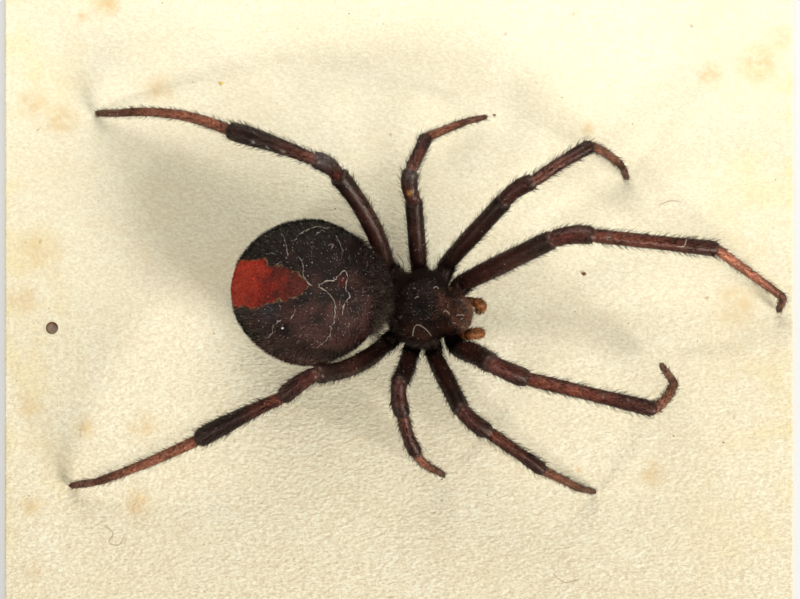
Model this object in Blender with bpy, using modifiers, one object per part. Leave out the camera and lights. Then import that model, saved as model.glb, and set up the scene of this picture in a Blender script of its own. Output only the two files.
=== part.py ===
"""A katipo spider, life size, mounted on its card as a museum keeps it.

Metres, +Z up. The card lies flat with its underside at z = 0 and its centre at the
origin. +X runs along the card's long side, the way the spider's head points, and
+Y is the spider's left. Heights named below are measured from the card's upper face.
"""

import math

import bmesh
import bpy
from mathutils import Matrix, Vector

MM = 0.001

# Fit between neighbouring solids: thin cuts across the limbs, hairline round the eyes
CUT = 0.10 * MM
EYE_CLEARANCE = 0.02 * MM

# Card
CARD_LENGTH = 27.6 * MM
CARD_WIDTH = 24.0 * MM
CARD_THICKNESS = 0.5 * MM
CARD_EDGE_ROUNDING = 0.06 * MM
PIN_HOLE_DIAMETER = 0.44 * MM
PIN_HOLE_X = -12.15 * MM

# Abdomen: a ball that narrows towards the waist
ABDOMEN_CENTRE = (-3.28 * MM, 1.26 * MM, 2.42 * MM)
ABDOMEN_HEADING = -4.0
ABDOMEN_TO_FRONT = 2.95 * MM
ABDOMEN_TO_REAR = 2.56 * MM
ABDOMEN_HALF_WIDTH = 2.56 * MM
ABDOMEN_TO_TOP = 2.48 * MM
ABDOMEN_TO_UNDERSIDE = 2.36 * MM
ABDOMEN_FRONT_NARROWING = 0.25
ABDOMEN_SHOULDER = 0.09

# Spinnerets: six short cones on one low base under the rear of the abdomen
SPINNERET_DIRECTION = Vector((-0.72, 0.0, -0.69)).normalized()
SPINNERET_BASE_RADIUS = 0.36 * MM
SPINNERET_BASE_HEIGHT = 0.16 * MM
SPINNERETS = (
    # distance from the axis, angle round it, radius at the root, length
    (0.21 * MM, 35.0, 0.12 * MM, 0.40 * MM),
    (0.21 * MM, -35.0, 0.12 * MM, 0.40 * MM),
    (0.14 * MM, 90.0, 0.07 * MM, 0.26 * MM),
    (0.14 * MM, -90.0, 0.07 * MM, 0.26 * MM),
    (0.22 * MM, 148.0, 0.10 * MM, 0.34 * MM),
    (0.22 * MM, -148.0, 0.10 * MM, 0.34 * MM),
)

# Cephalothorax: its frame has x forward, y left, and z from the card's upper face
THORAX_CENTRE = (1.11 * MM, 0.63 * MM)
THORAX_HEADING = -10.0
RIM_HEIGHT = 1.95 * MM
CARAPACE_HALF_LENGTH = 1.42 * MM
THORAX_HALF_WIDTH = 1.27 * MM
HEAD_HALF_WIDTH = 0.82 * MM
CARAPACE_DOME = 1.0 * MM
RIM_THICKNESS = 0.06 * MM
CORE_SHARE = 0.66
CORE_DEPTH = 0.62 * MM
FOVEA_X = -0.36 * MM
FOVEA_SPREAD = 0.17 * MM
FOVEA_DEPTH = 0.13 * MM

STERNUM_CENTRE = (-0.12 * MM, 0.0, 1.08 * MM)
STERNUM_HALF_SIZE = (0.70 * MM, 0.60 * MM, 0.17 * MM)
MOUTH_CENTRE = (0.80 * MM, 0.0, 1.12 * MM)
MOUTH_HALF_SIZE = (0.14 * MM, 0.34 * MM, 0.16 * MM)

# Pedicel: the waist, between the rear of the core and the front of the abdomen
PEDICEL_HEIGHT = 1.62 * MM
PEDICEL_RADIUS = 0.22 * MM

# Eyes: two rows of four on the front of the head
EYE_RADIUS = 0.075 * MM
EYE_ROWS = (
    # row, angle down from the crown, angles to the side of the middle and side eyes
    ("rear", 54.0, 9.0, 36.0),
    ("front", 74.0, 8.0, 30.0),
)

# Chelicerae and palps: forward, sideways, height and radius along each, one side
CHELICERA_PATH = (
    (1.20, 0.18, 1.81, 0.14),
    (1.22, 0.18, 1.62, 0.15),
    (1.23, 0.18, 1.35, 0.145),
    (1.20, 0.165, 1.12, 0.11),
    (1.17, 0.12, 1.04, 0.05),
    (1.14, 0.08, 1.00, 0.03),
)
PALP_PATHS = {
    "left": (
        (0.96, 0.37, 1.46, 0.13),
        (1.10, 0.50, 1.50, 0.16),
        (1.36, 0.52, 1.62, 0.18),
        (1.58, 0.51, 1.66, 0.20),
        (1.70, 0.44, 1.52, 0.21),
        (1.65, 0.32, 1.30, 0.18),
        (1.58, 0.24, 1.08, 0.10),
    ),
    "right": (
        (0.96, -0.37, 1.46, 0.13),
        (1.08, -0.56, 1.52, 0.17),
        (1.30, -0.62, 1.66, 0.20),
        (1.54, -0.57, 1.72, 0.22),
        (1.74, -0.52, 1.62, 0.21),
        (1.85, -0.49, 1.44, 0.18),
        (1.89, -0.47, 1.24, 0.09),
    ),
}

# Legs: real lengths of femur, patella, tibia, metatarsus and tarsus, pair by pair
LEG_LENGTHS = {
    1: (4.55 * MM, 1.40 * MM, 4.45 * MM, 3.80 * MM, 1.20 * MM),
    2: (3.75 * MM, 1.25 * MM, 2.40 * MM, 2.95 * MM, 1.15 * MM),
    3: (2.90 * MM, 1.15 * MM, 1.60 * MM, 1.95 * MM, 1.00 * MM),
    4: (4.35 * MM, 1.50 * MM, 3.50 * MM, 4.65 * MM, 1.30 * MM),
}
LEG_GIRTH = {1: 1.05, 2: 0.94, 3: 0.93, 4: 0.98}

# Radii along each segment, as (share of its length, radius), with the short coat
SEGMENT_RADII = {
    "femur": ((0.0, 0.31), (0.14, 0.335), (0.35, 0.35), (0.65, 0.335), (0.88, 0.34), (1.0, 0.33)),
    "patella": ((0.0, 0.30), (0.3, 0.30), (0.6, 0.33), (0.8, 0.32), (1.0, 0.28)),
    "tibia": ((0.0, 0.24), (0.2, 0.245), (0.5, 0.24), (0.8, 0.265), (1.0, 0.27)),
    "metatarsus": ((0.0, 0.20), (0.1, 0.19), (0.5, 0.165), (0.9, 0.15), (1.0, 0.14)),
    "tarsus": ((0.0, 0.14), (0.5, 0.135), (0.9, 0.11), (1.0, 0.06)),
}
HIND_RADII = {
    "tibia": ((0.0, 0.23), (0.2, 0.25), (0.4, 0.275), (0.6, 0.325), (0.8, 0.36), (1.0, 0.34)),
    "metatarsus": ((0.0, 0.23), (0.1, 0.22), (0.5, 0.185), (0.9, 0.15), (1.0, 0.14)),
}
COXA_RADII = ((0.0, 0.18), (0.3, 0.25), (0.6, 0.32), (0.85, 0.34), (1.0, 0.30))
COXA_SAG = 0.10 * MM
HIP_HEIGHT = 1.58 * MM
COXA_ANGLES = {1: 50.0, 2: 78.0, 3: 106.0, 4: 136.0}

# A tip that rests on the card has its centre this high, half its own thickness and a cut
RESTING_TIP = 0.12 * MM

# Each leg's pose: its hip in the cephalothorax frame, the heading of each segment as seen
# from above, the height of each segment's far end, and what bows to the left, in mm
LEG_POSES = {
    ("left", 1): (
        (0.94, 1.14), (26.0, 4.9, -5.9, -34.3, -105.5), (4.65, 4.77, 3.55, 1.23), {"patella": 0.09}
    ),
    ("left", 2): (
        (0.26, 1.69),
        (47.5, 33.2, 31.8, -28.5, -62.4),
        (3.92, 4.39, 3.80, 1.17),
        {"patella": 0.09, "tibia": 0.04, "metatarsus": 0.07},
    ),
    ("left", 3): (
        (-0.65, 1.30), (94.6, 95.5, 65.4, 23.0, 14.6), (3.19, 3.75, 2.79, 1.52), {"patella": 0.10}
    ),
    ("left", 4): (
        (-1.74, 1.15),
        (117.9, 147.9, 160.4, 170.2, 178.6),
        (3.99, 5.15, 3.57, 1.07),
        {"femur": -0.22, "patella": -0.10, "tibia": -0.05, "metatarsus": -0.25},
    ),
    ("right", 1): (
        (1.19, -1.16),
        (-23.5, -22.9, -13.6, 44.0, 123.5),
        (5.98, 5.55, 5.21, 1.61),
        {"femur": 0.06, "patella": -0.03, "metatarsus": -0.10},
    ),
    ("right", 2): (
        (0.36, -1.52), (-63.1, -39.1, -35.3, -27.8, -13.7), (4.70, 4.35, 3.63, 1.13), {"patella": -0.06}
    ),
    ("right", 3): (
        (-0.46, -1.67),
        (-111.9, -82.4, -71.2, -42.8, -32.6),
        (4.30, 4.07, 3.27, 1.56),
        {"femur": 0.05, "patella": -0.07, "tibia": -0.07, "metatarsus": -0.09},
    ),
    ("right", 4): (
        (-1.39, -1.47),
        (-157.5, -144.7, -153.3, -157.1, -170.5),
        (5.14, 4.65, 3.45, 0.97),
        {"femur": 0.25, "patella": -0.06, "tibia": -0.05, "metatarsus": 0.06},
    ),
}
LIFTED_TIPS = {("left", 3): 0.9 * MM, ("right", 1): 0.7 * MM, ("right", 3): 0.62 * MM}

# Every segment also bows upwards a little, by this share of its length
UPWARD_BOW = {"femur": 0.03, "patella": 0.02, "tibia": 0.02, "metatarsus": 0.02, "tarsus": 0.0}

# Share of a limb's radius that its path runs on past a cut, before the cut is made
STUB = 0.9


def remove_everything():
    for obj in list(bpy.data.objects):
        bpy.data.objects.remove(obj, do_unlink=True)


def make_collection(name):
    collection = bpy.data.collections.new(name)
    bpy.context.scene.collection.children.link(collection)
    return collection


def make_material(name, colour, roughness):
    material = bpy.data.materials.new(name)
    material.use_nodes = True
    shader = material.node_tree.nodes["Principled BSDF"]
    shader.inputs["Base Color"].default_value = (*colour, 1.0)
    shader.inputs["Roughness"].default_value = roughness
    shader.inputs["Metallic"].default_value = 0.0
    return material


remove_everything()
PARTS = make_collection("katipo_spider")
CUTTERS = make_collection("cutters")

PAPER = make_material("card_paper", (0.92, 0.84, 0.62), 0.85)
ABDOMEN_SKIN = make_material("abdomen_skin", (0.030, 0.018, 0.018), 0.55)
DARK_CUTICLE = make_material("dark_cuticle", (0.022, 0.012, 0.010), 0.40)
RED_CUTICLE = make_material("red_brown_cuticle", (0.24, 0.06, 0.03), 0.40)
ORANGE_CUTICLE = make_material("orange_cuticle", (0.32, 0.10, 0.02), 0.35)
EYE_LENS = make_material("eye_lens", (0.01, 0.01, 0.012), 0.08)


def add_part(name, mesh, material, parent=None, location=(0.0, 0.0, 0.0)):
    obj = bpy.data.objects.new(name, mesh)
    mesh.materials.clear()
    mesh.materials.append(material)
    mesh.shade_smooth()
    mesh.set_sharp_from_angle(angle=math.radians(40.0))
    obj.location = location
    obj.parent = parent
    PARTS.objects.link(obj)
    return obj


def add_cutter(name, mesh, parent=None, location=(0.0, 0.0, 0.0)):
    obj = bpy.data.objects.new(name, mesh)
    obj.location = location
    obj.parent = parent
    obj.hide_render = True
    obj.display_type = "WIRE"
    CUTTERS.objects.link(obj)
    return obj


def add_frame(name, location, heading):
    frame = bpy.data.objects.new(name, None)
    frame.location = location
    frame.rotation_euler = (0.0, 0.0, math.radians(heading))
    frame.empty_display_size = 1.0 * MM
    bpy.context.scene.collection.objects.link(frame)
    bpy.context.view_layer.update()
    return frame


def finished_mesh(name, bm):
    bmesh.ops.recalc_face_normals(bm, faces=bm.faces)
    mesh = bpy.data.meshes.new(name)
    bm.to_mesh(mesh)
    bm.free()
    return mesh


def smooth_step(low, high, value):
    share = min(max((value - low) / (high - low), 0.0), 1.0)
    return share * share * (3.0 - 2.0 * share)


def shaped_ball(name, columns, rows, shape):
    """A sphere primitive of radius one, each of whose points is moved by shape."""
    bm = bmesh.new()
    bmesh.ops.create_uvsphere(bm, u_segments=columns, v_segments=rows, radius=1.0)
    for vertex in bm.verts:
        vertex.co = shape(vertex.co.copy())
    return finished_mesh(name, bm)


def tube_bmesh(path, radii):
    """A bevelled curve along path, with a radius at each point, as a closed mesh."""
    curve = bpy.data.curves.new("tube", "CURVE")
    curve.dimensions = "3D"
    curve.bevel_depth = 1.0
    curve.bevel_resolution = 4
    curve.use_fill_caps = True
    spline = curve.splines.new("POLY")
    spline.points.add(len(path) - 1)
    for point, place, radius in zip(spline.points, path, radii):
        point.co = (*place, 1.0)
        point.radius = radius
    guide = bpy.data.objects.new("tube", curve)
    CUTTERS.objects.link(guide)
    evaluated = guide.evaluated_get(bpy.context.evaluated_depsgraph_get())
    mesh = bpy.data.meshes.new_from_object(evaluated)
    bm = bmesh.new()
    bm.from_mesh(mesh)
    bmesh.ops.remove_doubles(bm, verts=bm.verts, dist=1e-7)
    bpy.data.meshes.remove(mesh)
    bpy.data.objects.remove(guide)
    bpy.data.curves.remove(curve)
    return bm


def cut_off(bm, place, normal):
    """Remove what lies past a plane on its normal's side, and close the cut."""
    everything = list(bm.verts) + list(bm.edges) + list(bm.faces)
    bmesh.ops.bisect_plane(bm, geom=everything, plane_co=place, plane_no=normal, clear_outer=True)
    rims = [edge for edge in bm.edges if edge.is_boundary]
    bmesh.ops.holes_fill(bm, edges=rims)


def make_card():
    bm = bmesh.new()
    size = Matrix.Diagonal((CARD_LENGTH, CARD_WIDTH, CARD_THICKNESS, 1.0))
    bmesh.ops.create_cube(bm, size=1.0, matrix=size)
    card = add_part("mounting_card", finished_mesh("mounting_card", bm), PAPER)
    card.location = (0.0, 0.0, CARD_THICKNESS / 2)
    edges = card.modifiers.new("edges", "BEVEL")
    edges.width = CARD_EDGE_ROUNDING
    edges.segments = 2

    punch = bmesh.new()
    radius = PIN_HOLE_DIAMETER / 2
    bmesh.ops.create_cone(
        punch, cap_ends=True, segments=20, radius1=radius, radius2=radius, depth=4 * CARD_THICKNESS
    )
    place = (PIN_HOLE_X, 0.0, CARD_THICKNESS / 2)
    cutter = add_cutter("pin_punch", finished_mesh("pin_punch", punch), location=place)
    hole = card.modifiers.new("pin_hole", "BOOLEAN")
    hole.operation = "DIFFERENCE"
    hole.object = cutter


def abdomen_point(unit):
    length = ABDOMEN_TO_FRONT if unit.x > 0 else ABDOMEN_TO_REAR
    height = ABDOMEN_TO_TOP if unit.z > 0 else ABDOMEN_TO_UNDERSIDE
    narrowing = 1.0 - ABDOMEN_FRONT_NARROWING * max(unit.x, 0.0) ** 2
    shoulder = 1.0 + ABDOMEN_SHOULDER * unit.x * unit.y ** 2
    width = ABDOMEN_HALF_WIDTH * narrowing * shoulder
    return Vector((unit.x * length * shoulder, unit.y * width, unit.z * height))


def make_abdomen(frame):
    add_part("abdomen", shaped_ball("abdomen", 40, 24, abdomen_point), ABDOMEN_SKIN, frame)


def make_spinnerets(frame):
    axis = Matrix.Translation(abdomen_point(SPINNERET_DIRECTION) + SPINNERET_DIRECTION * CUT)
    axis = axis @ SPINNERET_DIRECTION.to_track_quat("Z", "X").to_matrix().to_4x4()
    base = bmesh.new()
    bmesh.ops.create_cone(
        base,
        cap_ends=True,
        segments=20,
        radius1=SPINNERET_BASE_RADIUS,
        radius2=SPINNERET_BASE_RADIUS * 0.92,
        depth=SPINNERET_BASE_HEIGHT,
        matrix=axis @ Matrix.Translation((0.0, 0.0, SPINNERET_BASE_HEIGHT / 2)),
    )
    part = add_part("spinnerets", finished_mesh("spinnerets", base), DARK_CUTICLE, frame)

    cones = bpy.data.collections.new("spinneret_cones")
    for number, (offset, angle, radius, length) in enumerate(SPINNERETS):
        turn = math.radians(angle)
        root = Vector((offset * math.cos(turn), offset * math.sin(turn), SPINNERET_BASE_HEIGHT / 2))
        bm = bmesh.new()
        bmesh.ops.create_cone(
            bm,
            cap_ends=True,
            segments=10,
            radius1=radius,
            radius2=radius * 0.45,
            depth=length,
            matrix=axis @ Matrix.Translation(root + Vector((0.0, 0.0, length / 2))),
        )
        name = f"spinneret_cone_{number}"
        cone = bpy.data.objects.new(name, finished_mesh(name, bm))
        cone.parent = frame
        cones.objects.link(cone)
        CUTTERS.objects.link(cone)
    union = part.modifiers.new("cones", "BOOLEAN")
    union.operation = "UNION"
    union.operand_type = "COLLECTION"
    union.collection = cones
    apply_modifiers(part)
    for cone in list(cones.objects):
        bpy.data.objects.remove(cone)
    bpy.data.collections.remove(cones)


def apply_modifiers(obj):
    bpy.context.view_layer.update()
    evaluated = obj.evaluated_get(bpy.context.evaluated_depsgraph_get())
    mesh = bpy.data.meshes.new_from_object(evaluated)
    mesh.name = obj.name
    obj.modifiers.clear()
    obj.data = mesh


def carapace_outline(around):
    """The pear-shaped edge seen from above, at an angle round from the front."""
    forward = math.cos(around)
    width = THORAX_HALF_WIDTH
    width += (HEAD_HALF_WIDTH - THORAX_HALF_WIDTH) * smooth_step(-0.1, 0.6, forward)
    side = math.copysign(abs(math.sin(around)) ** 0.8, math.sin(around))
    return Vector((CARAPACE_HALF_LENGTH * forward, width * side, 0.0))


def carapace_point(unit):
    """Dome above the rim; under it a thin rim, then the core that carries the legs."""
    around = math.atan2(unit.y, unit.x)
    down = math.acos(min(max(unit.z, -1.0), 1.0)) / math.pi
    if down <= 0.5:
        share = math.sin(down * math.pi)
        steepness = 2.0 + 2.0 * smooth_step(0.0, 0.8, math.cos(around))
        height = CARAPACE_DOME * math.sqrt(max(1.0 - share ** steepness, 0.0))
    elif down <= 0.6:
        share = 1.0 + (CORE_SHARE - 1.0) * (down - 0.5) / 0.1
        height = -RIM_THICKNESS * smooth_step(0.5, 0.55, down)
    elif down <= 0.85:
        lower = (down - 0.6) / 0.25
        share = CORE_SHARE - 0.06 * lower
        height = -RIM_THICKNESS - (CORE_DEPTH - RIM_THICKNESS) * lower
    else:
        share = (CORE_SHARE - 0.06) * (1.0 - down) / 0.15
        height = -CORE_DEPTH
    point = carapace_outline(around) * share
    if down < 0.5:
        near = ((point.x - FOVEA_X) ** 2 + point.y ** 2) / FOVEA_SPREAD ** 2
        height -= FOVEA_DEPTH * math.exp(-near)
    return Vector((point.x, point.y, RIM_HEIGHT + height))


def eye_places():
    for row, down, middle, side in EYE_ROWS:
        for where, angle in (("middle", middle), ("side", side)):
            for hand, sign in (("left", 1.0), ("right", -1.0)):
                around = math.radians(angle) * sign
                flat = math.sin(math.radians(down))
                unit = Vector(
                    (flat * math.cos(around), flat * math.sin(around), math.cos(math.radians(down)))
                )
                yield f"eye_{row}_{where}_{hand}", carapace_point(unit)


def make_carapace(frame):
    carapace = add_part("carapace", shaped_ball("carapace", 40, 20, carapace_point), DARK_CUTICLE, frame)
    sockets = bpy.data.collections.new("eye_sockets")
    for name, place in eye_places():
        eye = shaped_ball(name, 12, 8, lambda unit: unit * EYE_RADIUS)
        add_part(name, eye, EYE_LENS, frame, place)
        socket = shaped_ball(name + "_socket", 12, 8, lambda unit: unit * (EYE_RADIUS + EYE_CLEARANCE))
        cutter = add_cutter(name + "_socket", socket, frame, place)
        sockets.objects.link(cutter)
    cut = carapace.modifiers.new("eye_sockets", "BOOLEAN")
    cut.operation = "DIFFERENCE"
    cut.operand_type = "COLLECTION"
    cut.collection = sockets


def sternum_point(unit):
    """A shield, broad in front and narrow behind, domed downwards."""
    length, width, height = STERNUM_HALF_SIZE
    return Vector((unit.x * length, unit.y * width * (1.0 + 0.22 * unit.x), unit.z * height))


def mouth_point(unit):
    """The lip and the two lobes beside it, as one low form with a notch in front."""
    length, width, height = MOUTH_HALF_SIZE
    notch = 1.0 - 0.25 * math.exp(-((unit.y / 0.25) ** 2))
    return Vector((unit.x * length * notch, unit.y * width, unit.z * height))


def make_underside(frame):
    sternum = shaped_ball("sternum", 24, 12, sternum_point)
    add_part("sternum", sternum, DARK_CUTICLE, frame, STERNUM_CENTRE)
    mouth = shaped_ball("mouthparts", 20, 10, mouth_point)
    add_part("mouthparts", mouth, RED_CUTICLE, frame, MOUTH_CENTRE)


def make_feeler(name, stations, side, material, frame):
    places = [Vector((x, y * side, z)) * MM for x, y, z, radius in stations]
    radii = [radius * MM for x, y, z, radius in stations]
    add_part(name, finished_mesh(name, tube_bmesh(places, radii)), material, frame)


def make_mouth_limbs(frame):
    for side, sign in (("left", 1.0), ("right", -1.0)):
        make_feeler(f"chelicera_{side}", CHELICERA_PATH, sign, RED_CUTICLE, frame)
        make_feeler(f"palp_{side}", PALP_PATHS[side], 1.0, ORANGE_CUTICLE, frame)


def make_pedicel(thorax_frame, abdomen_frame):
    core_rear = Vector((-CARAPACE_HALF_LENGTH * CORE_SHARE, 0.0, PEDICEL_HEIGHT))
    start = thorax_frame.matrix_world @ core_rear
    below = abdomen_frame.matrix_world.translation.z - start.z
    slope = math.sqrt(1.0 - (below / ABDOMEN_TO_UNDERSIDE) ** 2)
    end = abdomen_frame.matrix_world @ Vector((ABDOMEN_TO_FRONT * slope, 0.0, -below))
    along = (end - start).normalized()
    path = [start + (end - start) * share for share in (0.0, 0.5, 1.0)]
    path[0] += along * CUT
    path[-1] -= along * CUT
    radii = (PEDICEL_RADIUS, PEDICEL_RADIUS * 0.9, PEDICEL_RADIUS)
    add_part("pedicel", finished_mesh("pedicel", tube_bmesh(path, radii)), DARK_CUTICLE)


def leg_joints(hip, lengths, headings, heights):
    """Each joint's place: a segment of known length and heading, up or down to a height."""
    joints = [hip]
    for length, heading, height in zip(lengths, headings, heights):
        rise = CARD_THICKNESS + height - joints[-1].z
        reach = math.sqrt(length ** 2 - rise ** 2)
        turn = math.radians(heading)
        step = Vector((reach * math.cos(turn), reach * math.sin(turn), rise))
        joints.append(joints[-1] + step)
    return joints


def segment_path(kind, start, end, sideways, radii):
    """Points from start to end, bowed upwards a little and to the left by sideways."""
    chord = end - start
    left = Vector((-chord.y, chord.x, 0.0)).normalized()
    bow = left * sideways + Vector((0.0, 0.0, UPWARD_BOW[kind] * chord.length))
    return [start + chord * share + bow * (4.0 * share * (1.0 - share)) for share, radius in radii]


def make_leg(side, pair, thorax_frame):
    hip_place, headings, heights, bows = LEG_POSES[side, pair]
    girth = LEG_GIRTH[pair]
    tip = LIFTED_TIPS.get((side, pair), RESTING_TIP)
    hip_local = Vector((hip_place[0] * MM, hip_place[1] * MM, HIP_HEIGHT))
    hip = thorax_frame.matrix_world @ hip_local
    heights = [height * MM for height in heights] + [tip]
    joints = leg_joints(hip, LEG_LENGTHS[pair], headings, heights)

    paths = [coxa_path(side, pair, hip_local, thorax_frame)]
    radii = [[radius * MM * girth for share, radius in COXA_RADII]]
    for number, kind in enumerate(SEGMENT_RADII):
        stations = HIND_RADII.get(kind, SEGMENT_RADII[kind]) if pair == 4 else SEGMENT_RADII[kind]
        start, end = joints[number], joints[number + 1]
        paths.append(segment_path(kind, start, end, bows.get(kind, 0.0) * MM, stations))
        radii.append([radius * MM * girth for share, radius in stations])

    # The metatarsus and the tarsus make one node, the foot
    names = ("coxa", "femur", "patella", "tibia", "foot")
    paths[4:] = [paths[4] + paths[5][1:]]
    radii[4:] = [radii[4] + radii[5][1:]]
    for number, name in enumerate(names):
        before = paths[number - 1] if number else None
        after = paths[number + 1] if number + 1 < len(names) else None
        make_segment(f"leg_{side}_{pair}_{name}", paths[number], radii[number], before, after)


def coxa_path(side, pair, hip, thorax_frame):
    """From the wall of the core out to the hip, sagging a little, in world coordinates."""
    angle = math.radians(COXA_ANGLES[pair]) * (1.0 if side == "left" else -1.0)
    wall = carapace_outline(angle) * CORE_SHARE
    outward = (Vector((hip.x, hip.y, 0.0)) - wall).normalized()
    root = wall + outward * CUT
    root.z = RIM_HEIGHT - CORE_DEPTH * 0.6
    world = thorax_frame.matrix_world
    sag = Vector((0.0, 0.0, -COXA_SAG))
    shares = [share for share, radius in COXA_RADII]
    return [world @ (root.lerp(hip, share) + sag * (4.0 * share * (1.0 - share))) for share in shares]


def make_segment(name, path, radii, before, after):
    """One length of a leg, its ends cut on the planes that halve the bend at each joint."""
    route = list(path)
    girths = list(radii)
    cuts = []
    if after:
        leaving = (after[1] - after[0]).normalized()
        arriving = (path[-1] - path[-2]).normalized()
        normal = (leaving + arriving).normalized()
        cuts.append((path[-1] - normal * CUT / 2, normal))
        route.append(path[-1] + leaving * radii[-1] * STUB)
        girths.append(radii[-1])
    if before:
        arriving = (before[-1] - before[-2]).normalized()
        leaving = (path[1] - path[0]).normalized()
        normal = (leaving + arriving).normalized()
        cuts.append((path[0] + normal * CUT / 2, -normal))
        route.insert(0, path[0] - arriving * radii[0] * STUB)
        girths.insert(0, radii[0])
    origin = path[0]
    bm = tube_bmesh([place - origin for place in route], girths)
    for place, normal in cuts:
        cut_off(bm, place - origin, normal)
    material = RED_CUTICLE if name.endswith("foot") else DARK_CUTICLE
    add_part(name, finished_mesh(name, bm), material, location=origin)


def main():
    abdomen_place = Vector(ABDOMEN_CENTRE) + Vector((0.0, 0.0, CARD_THICKNESS))
    abdomen_frame = add_frame("abdomen_frame", abdomen_place, ABDOMEN_HEADING)
    thorax_place = (*THORAX_CENTRE, CARD_THICKNESS)
    thorax_frame = add_frame("cephalothorax_frame", thorax_place, THORAX_HEADING)
    make_card()
    make_abdomen(abdomen_frame)
    make_spinnerets(abdomen_frame)
    make_carapace(thorax_frame)
    make_underside(thorax_frame)
    make_mouth_limbs(thorax_frame)
    make_pedicel(thorax_frame, abdomen_frame)
    for side, pair in LEG_POSES:
        make_leg(side, pair, thorax_frame)


main()
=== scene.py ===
"""The looks of a preserved katipo spider on its museum card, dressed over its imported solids."""

import math

import bpy
import numpy as np
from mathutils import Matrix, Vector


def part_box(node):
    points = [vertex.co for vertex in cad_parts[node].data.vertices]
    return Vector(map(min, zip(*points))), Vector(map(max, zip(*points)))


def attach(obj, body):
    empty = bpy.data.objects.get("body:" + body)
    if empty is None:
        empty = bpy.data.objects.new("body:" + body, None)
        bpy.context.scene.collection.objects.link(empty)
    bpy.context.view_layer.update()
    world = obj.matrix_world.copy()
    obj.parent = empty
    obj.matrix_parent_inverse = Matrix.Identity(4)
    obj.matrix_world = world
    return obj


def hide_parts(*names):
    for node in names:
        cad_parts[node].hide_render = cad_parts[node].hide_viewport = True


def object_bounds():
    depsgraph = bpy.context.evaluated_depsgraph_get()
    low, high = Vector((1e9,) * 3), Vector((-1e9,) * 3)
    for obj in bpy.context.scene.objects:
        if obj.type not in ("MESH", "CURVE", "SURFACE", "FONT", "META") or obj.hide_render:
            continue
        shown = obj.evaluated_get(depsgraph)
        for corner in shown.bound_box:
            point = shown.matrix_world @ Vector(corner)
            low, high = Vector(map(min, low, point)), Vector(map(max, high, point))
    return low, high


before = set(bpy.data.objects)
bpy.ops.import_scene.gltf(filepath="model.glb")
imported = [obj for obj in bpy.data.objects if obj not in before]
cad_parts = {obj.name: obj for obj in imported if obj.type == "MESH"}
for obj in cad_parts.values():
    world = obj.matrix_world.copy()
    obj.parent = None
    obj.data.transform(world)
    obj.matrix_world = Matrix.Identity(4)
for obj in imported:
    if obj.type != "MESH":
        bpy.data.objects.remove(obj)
cad_low, cad_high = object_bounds()

# The camera
# The photo looks straight down on the card from well above it. One pixel of it is
# 0.035 mm on the card, and its middle lies a little above the middle of the card.
MM = 0.001
CARD_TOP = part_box("mounting_card")[1].z
PHOTO_COLUMNS = 800
PIXEL = 0.035 * MM
VIEW_HEIGHT = 200 * MM
VIEW_CENTRE = (0.035 * MM, 0.9975 * MM)
SENSOR = 36.0

camera_data = bpy.data.cameras.new("camera")
camera_data.sensor_width = SENSOR
camera_data.lens = SENSOR * VIEW_HEIGHT / (PHOTO_COLUMNS * PIXEL)
camera_data.clip_start = 10 * MM
camera_data.clip_end = 10.0
camera = bpy.data.objects.new("camera", camera_data)
camera.location = (*VIEW_CENTRE, CARD_TOP + VIEW_HEIGHT)
bpy.context.scene.collection.objects.link(camera)
bpy.context.scene.camera = camera
bpy.context.scene.view_settings.view_transform = "Standard"


# The room: a plain pale floor and soft lamps
# A broad lamp low to the lower right of the photo throws the abdomen's shadow up and
# left. A weaker one at the lower left and a near one above the photo's top edge, which
# leaves the card brightest there, cross it.
FLOOR_SIDE = 600 * MM
FLOOR_COLOUR = (0.42, 0.42, 0.42)
# The floor glows a little, so that it stays paler than the card
FLOOR_GLOW = 0.44
WORLD_COLOUR = (1.0, 0.99, 0.97)
WORLD_STRENGTH = 0.125
LAMPS = (
    # name, heading, elevation, distance, side of the lamp, power
    ("low_right_lamp", -36.0, 31.0, 300 * MM, 110 * MM, 0.915),
    ("low_left_lamp", -148.0, 37.0, 300 * MM, 50 * MM, 0.240),
    ("upper_lamp", 88.0, 42.0, 52 * MM, 36 * MM, 0.0192),
)


def add_node(tree, kind, inputs=None, **settings):
    """One shader node with its settings; each input is a value or a socket linked to it."""
    node = tree.nodes.new(kind)
    for name, value in settings.items():
        setattr(node, name, value)
    for socket, value in (inputs or {}).items():
        if isinstance(value, bpy.types.NodeSocket):
            tree.links.new(value, node.inputs[socket])
        else:
            node.inputs[socket].default_value = value
    return node


def principled(name, roughness, **values):
    """A material with one Principled shader; plain values go on its own sockets."""
    material = bpy.data.materials.new(name)
    material.use_nodes = True
    tree = material.node_tree
    shader = tree.nodes["Principled BSDF"]
    shader.inputs["Roughness"].default_value = roughness
    for socket, value in values.items():
        shader.inputs[socket.replace("_", " ")].default_value = value
    return material, tree, shader


for lamp_name, heading, elevation, distance, side, power in LAMPS:
    lamp_data = bpy.data.lights.new(lamp_name, "AREA")
    lamp_data.size = side
    lamp_data.energy = power
    lamp = bpy.data.objects.new(lamp_name, lamp_data)
    turn, rise = math.radians(heading), math.radians(elevation)
    lamp.location = (
        distance * math.cos(turn) * math.cos(rise),
        distance * math.sin(turn) * math.cos(rise),
        distance * math.sin(rise),
    )
    lamp.rotation_euler = (math.radians(90.0) - rise, 0.0, turn + math.radians(90.0))
    bpy.context.scene.collection.objects.link(lamp)

world = bpy.data.worlds.new("soft_room")
world.use_nodes = True
world.node_tree.nodes["Background"].inputs["Color"].default_value = (*WORLD_COLOUR, 1.0)
world.node_tree.nodes["Background"].inputs["Strength"].default_value = WORLD_STRENGTH
bpy.context.scene.world = world

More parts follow.
